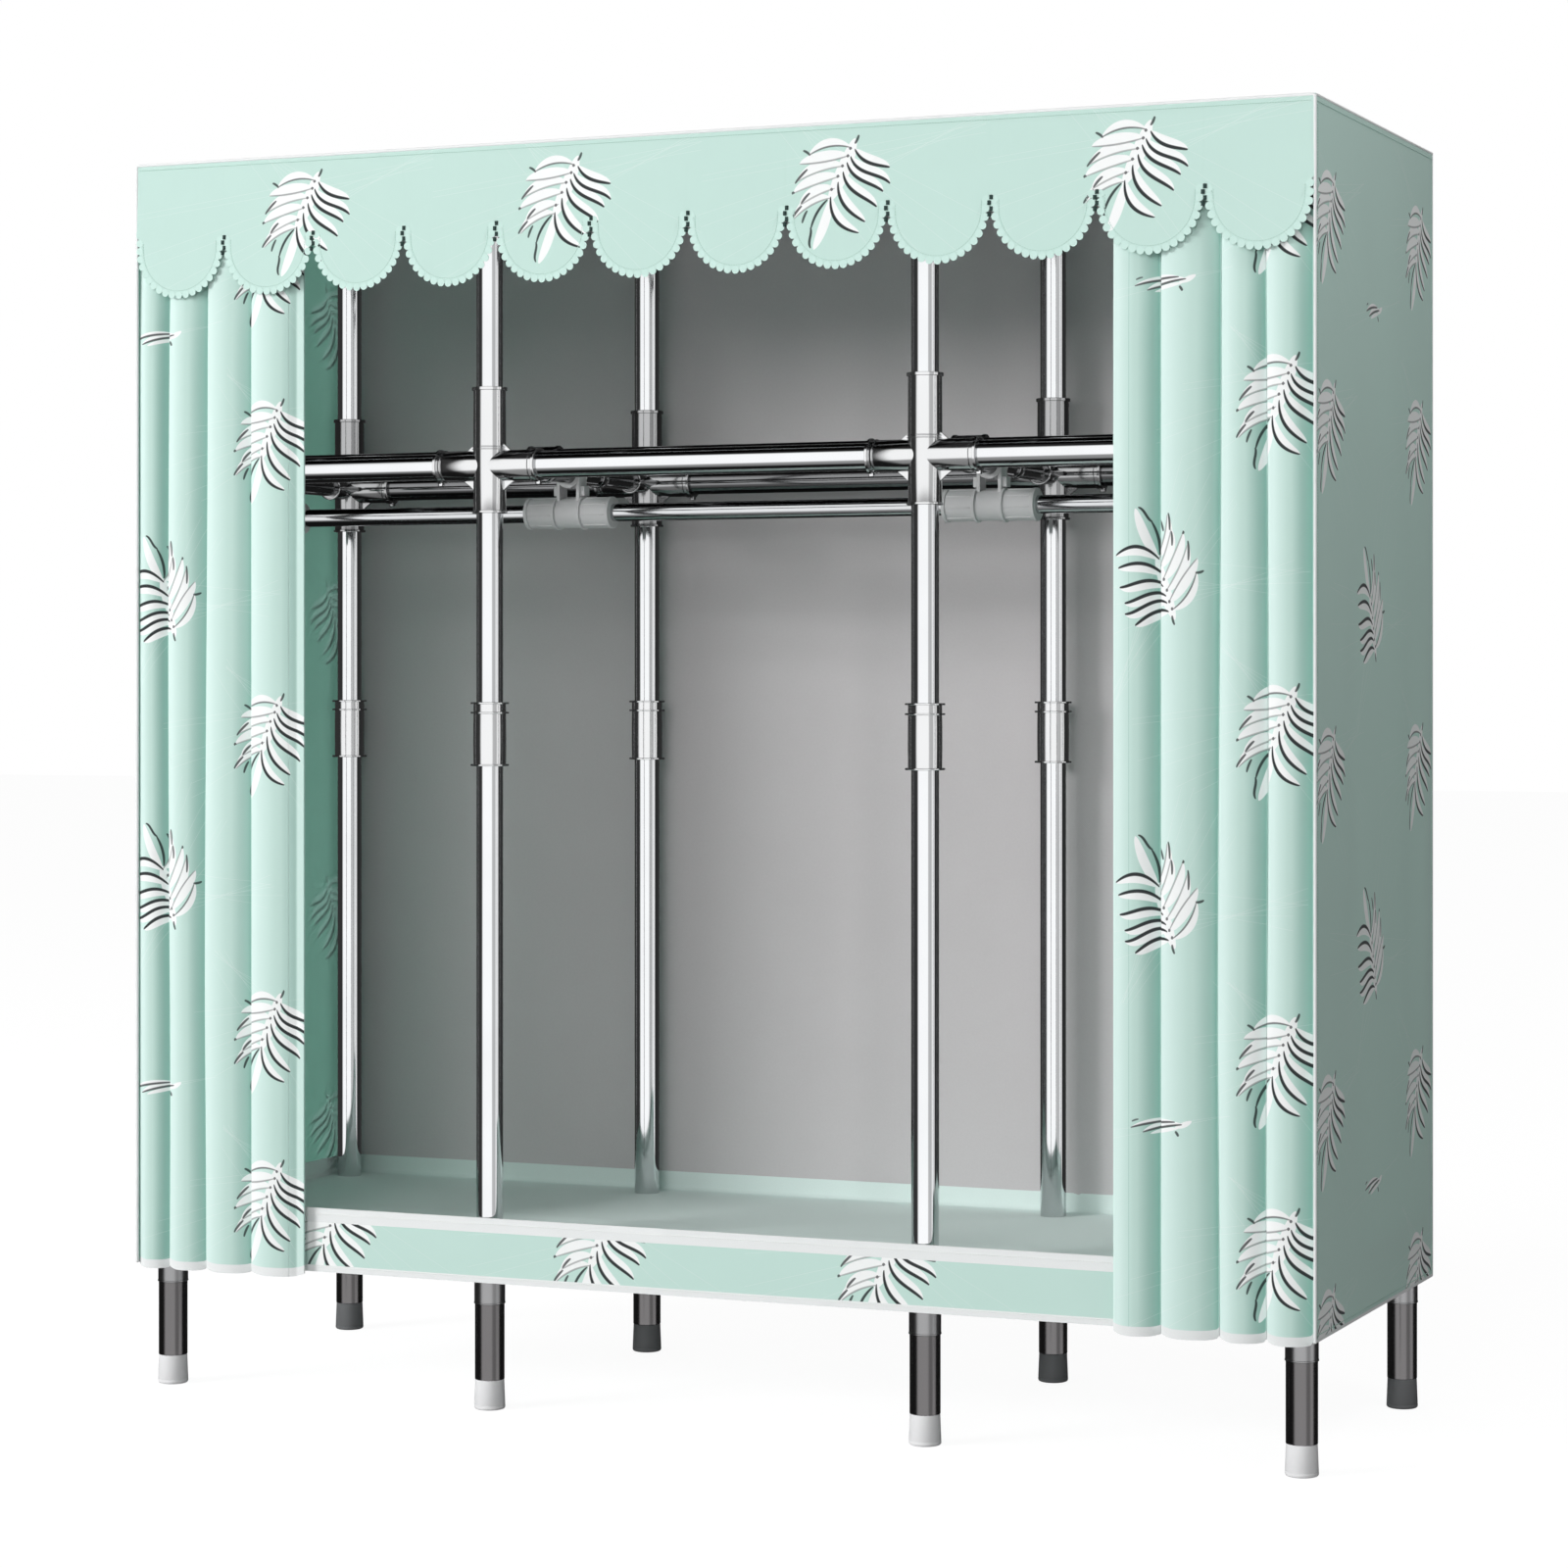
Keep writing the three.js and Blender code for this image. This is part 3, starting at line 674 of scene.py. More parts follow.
MINT = (0.590, 0.795, 0.730)
mint_print = printed_cloth("mint_print", MINT)
mint_plain = printed_cloth("mint_plain", MINT, printed=False, through=0.02)
# a darker, greener copy of the mint for the walls' inner faces: painted shade of the inside
mint_inside = printed_cloth("mint_inside", (0.47, 0.76, 0.67), printed=False, through=0.38)
mint_wall = printed_cloth("mint_wall", MINT, through=0.36)
white_binding = plain_binding("white_binding", (0.85, 0.87, 0.87))
picot_cloth = plain_binding("picot_cloth", (0.62, 0.83, 0.765))
tray_cloth = plain_binding("tray_cloth", (0.82, 0.94, 0.91))
grey_lining = pressed_lining("grey_lining", (0.665, 0.637, 0.648))
rod_steel = chrome("rod_steel", (0.55, 0.56, 0.57), 0.05)


# Rails, bars and their connectors
def rail_between(name, node, axis, radius, aside, z, finish, sides=48):
    """A tube as long as the solid that it stands for, along X or along Y."""
    ends = []
    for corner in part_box(node):
        along = corner[axis] * 1000
        ends.append((along, aside, z) if axis == 0 else (aside, along, z))
    shape = Shape()
    shape.tube(*ends, radius, sides)
    piece(name, shape, [finish], [node])


def rail_row(y, z, gap, sides):
    """Tubes from post to post, each ending a gap short of the posts' middles."""
    shape = Shape()
    for first, last in zip(POST_X, POST_X[1:]):
        shape.tube((first + gap, y, z), (last - gap, y, z), TUBE, sides)
    return shape


def ring_at(shape, place, along, at, inner, outer, width, finish=0):
    """A raised ring round an arm or a sleeve."""
    end = at + width
    shape.turned([(at, inner - 1), (at, outer - 0.7), (at + 0.5, outer), (end - 0.5, outer),
                  (end, outer - 0.7), (end, inner - 1)], place, along, 48, finish)


def bar_socket(shape, place, sides=32):
    """The socket on a post's inner side that takes a depth bar; gives the way it points."""
    inward = Y * -math.copysign(1, place[1])
    shape.turned(BAR_SOCKET_OUTLINE, place, inward, sides)
    return inward


def cross_connector(name, node, x, y, sides, finish):
    """Shelf connector: sleeve, arms and bar socket, moulded with rings, webs and lugs."""
    middle = (x, y, SHELF_Z)
    shape = Shape()
    shape.turned(SHELF_SLEEVE_OUTLINE, middle, Z, sides=56)
    for at, outer, width in ((21.5, 23.8, 1.7), (24.6, 23.8, 1.7), (101.5, 24, 4.5), (-64, 24, 3.0)):
        ring_at(shape, middle, Z, at, SLEEVE, outer, width)
    for side in sides:
        shape.turned(SHELF_ARM_OUTLINE, middle, X * side, sides=56)
        ring_at(shape, middle, X * side, at=72, inner=ARM, outer=23.5, width=4)
        ring_at(shape, middle, X * side, at=65.5, inner=ARM, outer=22.2, width=1.6)
        # web under the arm, and a slimmer one over it
        for rise, depth, reach in ((-1, 13, 16), (1, 9, 11)):
            web = []
            for out, up in ((0, 19), (2 + reach, 19), (2 + reach * 0.35, 21 + depth * 0.45), (0, 21 + depth)):
                web.append((x + side * (ARM + out), y - 2, SHELF_Z + rise * up))
            shape.prism(web, (0, 4, 0))
        # spring lug on the arm's ring
        lug = x + side * 74
        shape.block((lug - 3.5, y - 4, SHELF_Z - 26.2), (lug + 3.5, y + 4, SHELF_Z - 21), 1.2)
    inward = bar_socket(shape, middle, sides=40)
    ring_at(shape, middle, inward, at=56.5, inner=SOCKET, outer=17.6, width=3.5)
    piece(name, shape, [finish], [node])


def arm_sides(n):
    """The sides on which a post has a neighbour."""
    return (1,) if n == 0 else (-1,) if n == 3 else (-1, 1)


def add_shelf_level():
    for n, x in enumerate(POST_X):
        cross_connector(f"cross_front_{n + 1}", f"shelf_connector_{n + 1}", x, ROWS["front"], arm_sides(n),
                        joint_plastic)
        cross_connector(f"cross_back_{n + 1}", "shelf_rail_back", x, ROWS["back"], arm_sides(n), joint_shade)
    for bay in ("left", "middle", "right"):
        rail_between(f"rail_front_{bay}", f"shelf_rail_{bay}", 0, TUBE, ROWS["front"], SHELF_Z, tube_chrome)
    rails = rail_row(ROWS["back"], SHELF_Z, gap=22, sides=40)
    piece("rail_back", rails, [shade_chrome], ["shelf_rail_back"])
    for row, y in (("front", -SLAT_Y), ("back", SLAT_Y)):
        node = f"shelf_slat_{row}"
        shape = Shape()
        shape.tube((-SLAT_X, y, SLAT_Z), (SLAT_X, y, SLAT_Z), SLAT, sides=32)
        piece(f"slat_{row}", shape, [shade_chrome], [node])
        clips = Shape()
        for x in POST_X:
            span = min(24.0, SLAT_X - abs(x))
            half = [(span - 5.6, 13), (span - 5, 14), (span - 0.8, 14), (span, 13.4), (span, SLAT)]
            clips.turned([(-at, radius) for at, radius in reversed(half)] + half, (x, y, SLAT_Z), X, sides=36)
            # the claw that grips the depth bar
            clips.turned(CLAW_OUTLINE, (x, y, SHELF_Z), Y, sides=32)
        piece(f"slat_clips_{row}", clips, [joint_shade], [node])


def add_depth_bars():
    for level, z in (("bottom", BOTTOM_Z), ("shelf", SHELF_Z), ("top", TOP_Z)):
        for n, x in enumerate(POST_X, 1):
            rail_between(f"{level}_bar_{n}", f"{level}_depth_bar_{n}", 1, BAR, x, z, shade_chrome, sides=36)


def strap_line(x, radius, foot):
    """A strap's line seen from the front: up from its foot, over the depth bar and down again."""
    return [(x + radius, foot)] + arc(radius, 0, math.pi, 24, (x, SHELF_Z)) + [(x - radius, foot)]


def add_hanging_rails():
    for bay in ("left", "middle", "right"):
        rail_between(f"hang_bar_{bay}", f"hanging_rail_{bay}", 0, BAR, 0, HANG_Z, bar_chrome)
    for n, x in enumerate(POST_X):
        shape = Shape()
        # strap over the depth bar, as a U turned upside down, with a thin rib on each edge
        rows = []
        for half in (-12.0, -11.2, 11.2, 12.0):
            ease = 0.8 if abs(half) > 11.5 else 0.0
            row = []
            for px, pz in strap_line(x, STRAP, HANG_Z):
                row.append((px - math.copysign(ease, px - x) * 0.7, half, pz - ease * 0.5 * (pz > SHELF_Z)))
            rows.append(row)
        for half in (12.0, -12.0):
            rows.append([(px, half, pz) for px, pz in strap_line(x, STRAP_BORE, HANG_Z + 10)])
        shape.sheet(rows + rows[:1])
        for at in (-12.6, 10.4):
            shape.turned([(at, STRAP_BORE), (at, 18.4), (at + 0.6, 18.9), (at + 1.6, 18.9), (at + 2.2, 18.4),
                          (at + 2.2, STRAP_BORE)], (x, 0, SHELF_Z), Y, sides=40)
        # bolt ears beside the strap
        for side in (-1, 1):
            low, high = sorted((x + side * 13.2, x + side * 24.0))
            shape.block((low, -8.5, SHELF_Z - 30), (high, 8.5, SHELF_Z - 16), 1.0)
        sides = arm_sides(n)
        left = -66 if -1 in sides else -STRAP
        right = 66 if 1 in sides else STRAP
        barrel = [(left, 0), (left, 20.2), (left + 0.8, ARM), (right - 0.8, ARM), (right, 20.2), (right, 0)]
        shape.turned(barrel, (x, 0, HANG_Z), X, sides=48)
        for side in sides:
            ring_at(shape, (x, 0, HANG_Z), X * side, at=STRAP, inner=ARM, outer=23.5, width=4)
            ring_at(shape, (x, 0, HANG_Z), X * side, at=60.5, inner=ARM, outer=22.4, width=5.5)
            # ribs along the socket
            low, high = sorted((x + side * 24, x + side * 60))
            for turn in range(10, 370, 45):
                y0 = ARM * math.cos(math.radians(turn))
                z0 = HANG_Z + ARM * math.sin(math.radians(turn))
                shape.block((low, y0 - 0.9, z0 - 0.9), (high, y0 + 0.9, z0 + 0.9), 0.4)
        piece(f"bracket_{n + 1}", shape, [bracket_plastic], [f"hanging_bracket_{n + 1}"])


def add_bottom_level():
    for row, y in ROWS.items():
        node = f"bottom_rail_{row}"
        rails = rail_row(y, BOTTOM_Z, gap=19, sides=36)
        piece(f"rail_bottom_{row}", rails, [tube_chrome], [node])
        hubs = Shape()
        for x in POST_X:
            hubs.turned(LEG_SLEEVE_OUTLINE, (x, y, 0), Z, sides=48, finish=1)
            ring_at(hubs, (x, y, 0), Z, at=142.2, inner=LEG_SLEEVE, outer=21.3, width=2.4, finish=1)
            bar_socket(hubs, (x, y, BOTTOM_Z))
        piece(f"hubs_bottom_{row}", hubs, [joint_plastic, sleeve_grey], [node])


def add_top_level():
    for row, y in ROWS.items():
        node = f"top_rail_{row}"
        rails = rail_row(y, TOP_Z, gap=20, sides=36)
        if row == "front":
            for side in (-1, 1):
                rails.tube((side * 814, y, TOP_Z), (side * 839.4, y, TOP_Z), TUBE, sides=36)
        piece(f"rail_top_{row}", rails, [tube_chrome], [node])
        hubs = Shape()
        for x in POST_X:
            hubs.turned(TOP_SLEEVE_OUTLINE, (x, y, 0), Z, sides=48)
            ring_at(hubs, (x, y, 0), Z, at=1614.7, inner=SLEEVE, outer=23.2, width=3.5)
            bar_socket(hubs, (x, y, TOP_Z))
        if row == "front":
            for side in (-1, 1):
                hubs.prism([(side * 839.5, py, pz) for py, pz in rod_plate_outline()], (side * 4.0, 0, 0))
                hubs.turned(ROD_CUP_OUTLINE, (0, ROD_Y, ROD_Z), X * side, sides=32)
        piece(f"hubs_top_{row}", hubs, [joint_plastic], [node])


def rod_plate_outline():
    """The plate between a top rail's end and the rod's cup: the skin round two circles."""
    front = ROWS["front"]
    rise, run = TOP_Z - ROD_Z, front - ROD_Y
    tilt = math.atan2(rise, run)
    lean = math.acos((CUP - TUBE) / math.hypot(rise, run))
    below = arc(CUP, tilt + lean, 2 * math.pi - 2 * lean, 12, (ROD_Y, ROD_Z))
    return below + arc(TUBE, tilt - lean, 2 * lean, 12, (front, TOP_Z))


def add_curtain_rod():
    shape = Shape()
    shape.tube((-839.2, ROD_Y, ROD_Z), (839.2, ROD_Y, ROD_Z), ROD, sides=28)
    piece("rod", shape, [rod_steel], ["curtain_rod"])


add_shelf_level()
add_depth_bars()
add_hanging_rails()
add_bottom_level()
add_top_level()
add_curtain_rod()


# Cloth
def run_along(spots):
    """How far each point of a line is from its start, along the line, in metres."""
    runs = [0.0]
    for a, b in zip(spots, spots[1:]):
        runs.append(runs[-1] + (Vector(b) - Vector(a)).length / 1000)
    return runs


def cloth(name, rows, finishes, finish_at=None, thick=CLOTH, prints=(), plane=(0, 2, 1), squeeze=1.0):
    """A sheet of cloth from a grid of points: its own UV in metres, its print and its thickness.

    finish_at gives a row's finish; prints holds (across, up, way) for each feather; plane names the
    two axes it lies in and which way the first one runs."""
    shape = Shape()
    shape.sheet(rows)
    width = len(rows[0])
    mesh = plain_mesh(name, shape, finishes)
    if finish_at:
        for face in mesh.polygons:
            face.material_index = finish_at(face.index // (width - 1))
    lengths = run_along(rows[len(rows) // 2])
    heights = run_along([row[width // 2] for row in rows])
    own = mesh.uv_layers.new(name="cloth")
    for loop in mesh.loops:
        r, c = divmod(loop.vertex_index, width)
        own.data[loop.index].uv = (lengths[c], heights[r])
    lay_print(mesh, prints, plane, squeeze)
    # gathered cloth gets the shares of painted crease shade and painted rim highlight
    if squeeze != 1.0:
        lay_painted_fold_light(mesh)
    made = placed(name, mesh)
    solid = made.modifiers.new("thickness", "SOLIDIFY")
    solid.thickness = thick / 1000
    solid.offset = 0.0
    solid.use_even_offset = False
    applied(made)
    smoothed(made.data, 60)
    return made


PART = 2
TURN_COS, TURN_SIN = math.cos(math.radians(226)), math.sin(math.radians(226))


def clamped(value):
    return min(1.0, max(0.0, value))


def lay_print(mesh, prints, plane, squeeze):
    """Gives each face its place on the nearest feather, in tenths of a metre from the feather's middle."""
    layer = mesh.uv_layers.new(name="print")
    first, second, run = plane
    for face in mesh.polygons:
        a, b = face.center[first] * run, face.center[second]
        best, gap = (60.0, 60.0, 1), 1e9
        facing = abs(face.normal[3 - first - second]) > 0.3
        for across, up, way in prints if facing else ():
            distance = (a - across / 1000) ** 2 + (b - up / 1000) ** 2
            if distance < gap:
                best, gap = (across / 1000, up / 1000, way), distance
        for loop in face.loop_indices:
            spot = mesh.vertices[mesh.loops[loop].vertex_index].co
            u, v = (spot[first] * run - best[0]) * 10 * squeeze, (spot[second] - best[1]) * 10
            if best[2] == PART:
                u, v = u / squeeze, v + 9.0
            elif best[2] < 0:
                u, v = u * TURN_COS + v * TURN_SIN, v * TURN_COS - u * TURN_SIN
            layer.data[loop].uv = (u, v)


def lay_painted_fold_light(mesh):
    """Gives each corner of a gathered cloth how far it turns into a crease, and out to a rim, by which way it
    faces: the shares of painted shade in the creases and painted highlight on the rims.
    """
    layer = mesh.uv_layers.new(name="fold")
    for loop in mesh.loops:
        lean = mesh.vertices[loop.vertex_index].normal
        lean = lean.x * (-1 if lean.y > 0 else 1)
        layer.data[loop.index].uv = (clamped(2.6 * (lean - 0.24)), clamped(0.45 - 3.0 * lean))


def steps(first, last, count):
    return [first + (last - first) * i / count for i in range(count + 1)]


def near(value, places, width):
    return max([0.0] + [1 - abs(value - place) / width for place in places])


SIDE_PRINTS = [(-227, z, 1) for z in (1544, 1286, 856, 428, 163)] + \
              [(217, z, 1) for z in (1550, 1290, 856, 421, 176)] + \
              [(-39, z, -1) for z in (1072, 637)] + [(-14, 1457, PART), (-19, 333, PART)]


LEFT_WALL_PRINTS = [(-251, z, 1) for z in (1510, 1064, 617, 290)] + \
                   [(0, z, -1) for z in (1290, 840, 400)] + [(226, z, 1) for z in (1560, 1110, 660, 250)]


def freedom(z, from_edge):
    """How free a stretched panel is to wave, from 0 along its seams to 1 away from them."""
    return clamped(min((z - HEM_Z) / 200, (COVER_Z - z) / 160, from_edge / 70))


def add_roof():
    """The top lies on the rails and sags a little between them."""
    rows = []
    for y in steps(-294.2, 294.2, 30):
        row = []
        for x in steps(-844.2, 844.2, 84):
            on_rails = max(near(abs(y), (248,), 60), near(x, POST_X, 45))
            held = max(on_rails, near(abs(x), (844,), 40), near(abs(y), (295,), 40))
            sag = 2.4 * (1 - held ** 0.6) + 0.35 * math.sin(x / 37 + y / 61) * (1 - held)
            row.append((x, y, 1699.5 - sag))
        rows.append(row)
    top = cloth("roof", rows, [mint_plain])
    finish_cloth(top, ["cover_top"], (1.688, 0.588), "stretched", ["rail_top_front", "rail_top_back"],
                 "mint_cloth")


def add_side(side, word, finish, prints):
    rows = []
    for z in [172, 176] + steps(184, 1690, 74) + [1696, 1699]:
        row = []
        for y in steps(-294.2, 294.2, 36):
            wave = 0.9 * math.sin(y / 46 + 0.8 * math.sin(z / 310)) + 0.6 * math.sin(y / 23 + z / 420 + side)
            row.append((side * (844.3 + min(0.35, wave * freedom(z, 295 - abs(y))) - 0.1), y, z))
        rows.append(row)
    wall = cloth(f"side_{word}", rows, [finish, white_binding, mint_inside], lambda r: 1 if r < 1 else 0,
                 prints=prints, plane=(1, 2, side))
    # the inner faces take the darker mint: painted shade
    for face in wall.data.polygons:
        if face.normal.x * side < -0.5 and face.material_index == 0:
            face.material_index = 2
    finish_cloth(wall, [f"cover_{word}"], (0.588, 1.527), "stretched", ["roof"], "mint_cloth")


def add_back():
    rows = []
    for z in [172, 178] + steps(190, 1688, 62) + [1698]:
        row = []
        for x in steps(-843.6, 843.6, 110):
            wave = 1.5 * math.sin(x / 71 + 0.7 * math.sin(z / 330)) + 1.1 * math.sin(x / 33 + z / 500)
            row.append((x, 293.6 + min(0.9, wave * freedom(z, 845 - abs(x))), z))
        rows.append(row)
    back = cloth("back_wall", rows, [grey_lining])
    finish_cloth(back, ["cover_back"], (1.687, 1.526), "stretched", ["roof"], "grey_lining")


def finish_cloth(made, nodes, flat, held, rests_on, slot, **area):
    """Rides a cloth on the frame and hides the solids that it stands for."""
    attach(made, "frame")
    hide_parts(*nodes)


SCALLOPS, VALANCE_HALF, SCALLOP_Z = 12, 843.5, 1580.5
PITCH = 2 * VALANCE_HALF / SCALLOPS


def scallop_middle(n):
    return -VALANCE_HALF + (n + 0.5) * PITCH


def valance_y(x, z):
    """The valance hangs from its top seam and stands off a little more towards its scallops."""
    drop = (SEAM_Z - z) / 189
    return -294.3 - 4.2 * drop ** 2 + 0.5 * drop * (0.35 * math.sin(x / 97) + 0.25 * math.sin(x / 41 + 1.3))


def add_valance():
    """Four rows of points follow each scallop's edge, and the rest lie level up to the seam."""
    radius, columns = 65.0, 44
    depths = (0.0, 3.4, 7.0, 12.0)
    heights = (1593.0, 1600.0, 1612.0, 1626.0, 1640.0, 1654.0, 1668.0, 1680.0, 1690.0, 1695.0, SEAM_Z)
    rows = [[] for _ in depths + heights]
    for n in range(SCALLOPS):
        middle = scallop_middle(n)
        for step in range(columns + 1):
            turn = math.pi + math.pi * step / columns
            cos, sin = math.cos(turn), math.sin(turn)
            share = min(1.0, math.degrees(min(turn - math.pi, 2 * math.pi - turn)) / 14)
            inward = Vector((-cos * share, -sin * share + (1 - share))).normalized()
            for r, depth in enumerate(depths):
                spot = Vector((radius * cos, radius * sin)) + inward * depth
                rows[r].append((middle + spot.x, spot.y + SCALLOP_Z))
            base = rows[3][-1]
            for r, z in enumerate(heights, 4):
                wide = radius if r == 4 else PITCH / 2
                rows[r].append((middle + wide * cos, max(z, base[1] + 0.5 * (r - 3))))
    grid = [[(x, valance_y(x, z), z) for x, z in row] for row in rows]
    made = cloth("valance_cloth", grid, [mint_print, white_binding], thick=0.6,
                 prints=[(-572, 1610, 1), (-178, 1611, 1), (218, 1612, 1), (615, 1613, 1)])
    # the band over the scallops, then each scallop as a half disc with a short strip over it
    area = 2 * 0.8435 * 0.107 + SCALLOPS * (math.pi * 0.0694 ** 2 / 2 + 0.1388 * 0.0115)
    finish_cloth(made, ["valance"], (1.687, 0.1875), "hung", ["roof"], "mint_cloth", area=area)


def fold_back(t):
    """How far the front of a fold has gone back at a share of its width."""
    crown = 0.29
    if t < crown:
        return 2.6 * (1 - t / crown) ** 2
    u = (t - crown) / (1 - crown)
    return 13.6 * u ** 2.2


def pleat(width, first=0.0, last=1.0):
    """One fold seen from above, from its rim to just before the next rim, or a part of its front."""
    span = width - 8.6
    path = [(0.0, 4.8), (0.4, 3.5), (1.9, 2.6)] if first == 0 else []
    for i in range(0 if first else 1, 17):
        t = first + (last - first) * i / 16
        path.append((1.9 + span * t, fold_back(t)))
    if last < 1:
        return path
    path += [(width - 5.6, 14.7), (width - 4.9, 15.5), (width - 5.9, 16.2)]
    for i in range(1, 7):
        path.append((width - 5.9 - (width - 12.6) * i / 6, 16.2 + 0.2 * math.sin(math.pi * i / 6)))
    path += [(6.0, 16.5), (5.4, 17.1), (6.0, 17.7)]
    for i in range(1, 7):
        path.append((6.0 + (width - 9.8) * i / 6, 17.7 + 0.6 * i / 6))
    path += [(width - 2.2, 17.6), (width - 1.3, 14.0), (width - 0.9, 9.0), (width - 0.5, 5.0)]
    return path


CURTAIN_FOOT, CURTAIN_HEIGHT = 165, 1478.5
CURTAIN_LEVELS = [165.3, 171.0, 177.3] + steps(190, 1600, 47) + [1615, 1630, 1643.2]
LEAD_X, HEM_X = 583.0, 605.0


def gather(z):
    """How deep the folds are at a height, from 1 at the hem to less at the rod."""
    return 1.0 - 0.42 * max(0.0, ((z - CURTAIN_FOOT) / CURTAIN_HEIGHT - 0.86) / 0.14)


def fold_place(back, z, swell=1.0):
    depth = gather(z)
    return FRONT_Y + 9.5 * (1 - depth) + back * depth * swell


def drawn_up(lift, z):
    """A height with the lower edge's lift added, which fades out above the hem."""
    return z + lift * max(0.0, 1 - (z - CURTAIN_FOOT) / 60)


def share_at(edges, n, x):
    """The share of a fold's front at a place across."""
    return (x - edges[n] - 1.9) / (edges[n + 1] - edges[n] - 8.6)


def curtain_rows(edges, lead):
    """The gathered cloth, level by level: edges are the folds' rims from left to right, and lead is
    the number of the fold that the lead hem belongs to."""
    still = (0, lead, lead + 1, len(edges) - 1)
    rows = []
    for z in CURTAIN_LEVELS:
        up = (z - CURTAIN_FOOT) / CURTAIN_HEIGHT
        row = []
        for n, (first, last) in enumerate(zip(edges, edges[1:])):
            sway = [0.0, 0.0]
            for side in (0, 1):
                if n + side not in still:
                    sway[side] = 2.4 * math.sin(up * 5.1 + 1.7 * (n + side)) * min(1, 4 * up)
            swell = 1.0 if n == lead else 1.0 - 0.05 * (1 + math.sin(up * 4.0 + n * 2.1))
            part = {}
            if n == lead:
                part = {"last": share_at(edges, n, -HEM_X)} if lead else {"first": share_at(edges, n, HEM_X)}
            for across, back in pleat(last - first, **part):
                t = across / (last - first)
                x = (first + sway[0]) * (1 - t) + (last + sway[1]) * t
                lift = 5.5 * abs(2 * t - 1) ** 4 + (2.0 if back > 14 and n != lead else 0.0)
                row.append((x, fold_place(back, z, swell), drawn_up(lift, z)))
        if not lead:
            row.append((edges[-1], fold_place(2.0, z), drawn_up(5.5, z)))
        rows.append(row)
    return rows


LEFT_EDGES = [-841.5, -793, -734, -662, -583]
RIGHT_EDGES = [583, 646, 722, 782, 841.5]
GATHERED = 1.18
LEFT_PRINTS = [(-810, 1103, -1), (-810, 703, -1), (-812, 1458, PART), (-812, 417, PART)] + \
              [(-631, z, 1) for z in (1541, 1299, 895, 488, 256)]
RIGHT_PRINTS = [(636, 1117, -1), (636, 709, -1), (651, 1476, PART), (646, 428, PART)] + \
               [(802, z, 1) for z in (1557, 1315, 909, 504, 266)]


def add_curtains():
    for side, word, edges, prints in ((-1, "left", LEFT_EDGES, LEFT_PRINTS),
                                      (1, "right", RIGHT_EDGES, RIGHT_PRINTS)):
        lead = 3 if side < 0 else 0
        rows = curtain_rows(edges, lead)
        made = cloth(f"curtain_cloth_{word}", rows, [mint_print, white_binding], lambda r: 1 if r < 2 else 0,
                     prints=prints, thick=0.6, squeeze=GATHERED)
        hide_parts(f"curtain_{word}")
        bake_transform(made)
        add_lead_hem(word, side, edges, lead, prints)


def add_lead_hem(word, side, edges, lead, prints):
    """The curtain's doubled lead edge: a strip in the line of its fold, with a loop round the rod."""
    low, high = (-HEM_X - 0.3, -LEAD_X) if side < 0 else (LEAD_X, HEM_X + 0.3)
    shape = Shape()
    rows = []
    for z in CURTAIN_LEVELS:
        profile = []
        for x in steps(low, high, 14):
            t = max(0.0, share_at(edges, lead, x))
            back = fold_back(t) if side > 0 else fold_back(min(t, 0.93))
            if side > 0:
                back += 1.6 * max(0.0, 1 - (x - low) / 2.0) ** 2
            lift = 5.5 * abs(2 * (x - edges[lead]) / (edges[lead + 1] - edges[lead]) - 1) ** 4
            profile.append((x, fold_place(back, z) + 0.1, drawn_up(lift, z)))
        profile += [(x, y + 2.6, z1) for x, y, z1 in reversed(profile)]
        rows.append(profile)
    shape.sheet(rows, closed=True)
    count = len(rows[0])
    last = len(shape.points)
    shape.faces.append(tuple(range(count)))
    shape.faces.append(tuple(range(last - 1, last - count - 1, -1)))
    shape.finish = [1] * (count * 2) + [0] * (len(shape.finish) - count * 2) + [1, 0]
    shape.turned([(low + 0.4, 6.6), (low + 0.4, 8.2), (high - 0.4, 8.2), (high - 0.4, 6.6), (low + 0.4, 6.6)],
                 (0, ROD_Y, ROD_Z), X, sides=28)
    made = piece(f"lead_hem_{word}", shape, [mint_print, white_binding], [f"curtain_{word}_lead_hem"],
                 body=f"{word}_curtain_edge")
    lay_own_uv(made)
    lay_print(made.data, prints, (0, 2, 1), GATHERED)
    # shares of painted crease shade and painted rim highlight for the lead hem
    lay_painted_fold_light(made.data)


def lay_own_uv(made):
    """A cloth UV in metres straight from the X and Z axes."""
    layer = made.data.uv_layers.new(name="cloth")
    for loop in made.data.loops:
        spot = made.data.vertices[loop.vertex_index].co
        layer.data[loop.index].uv = (spot.x, spot.z)


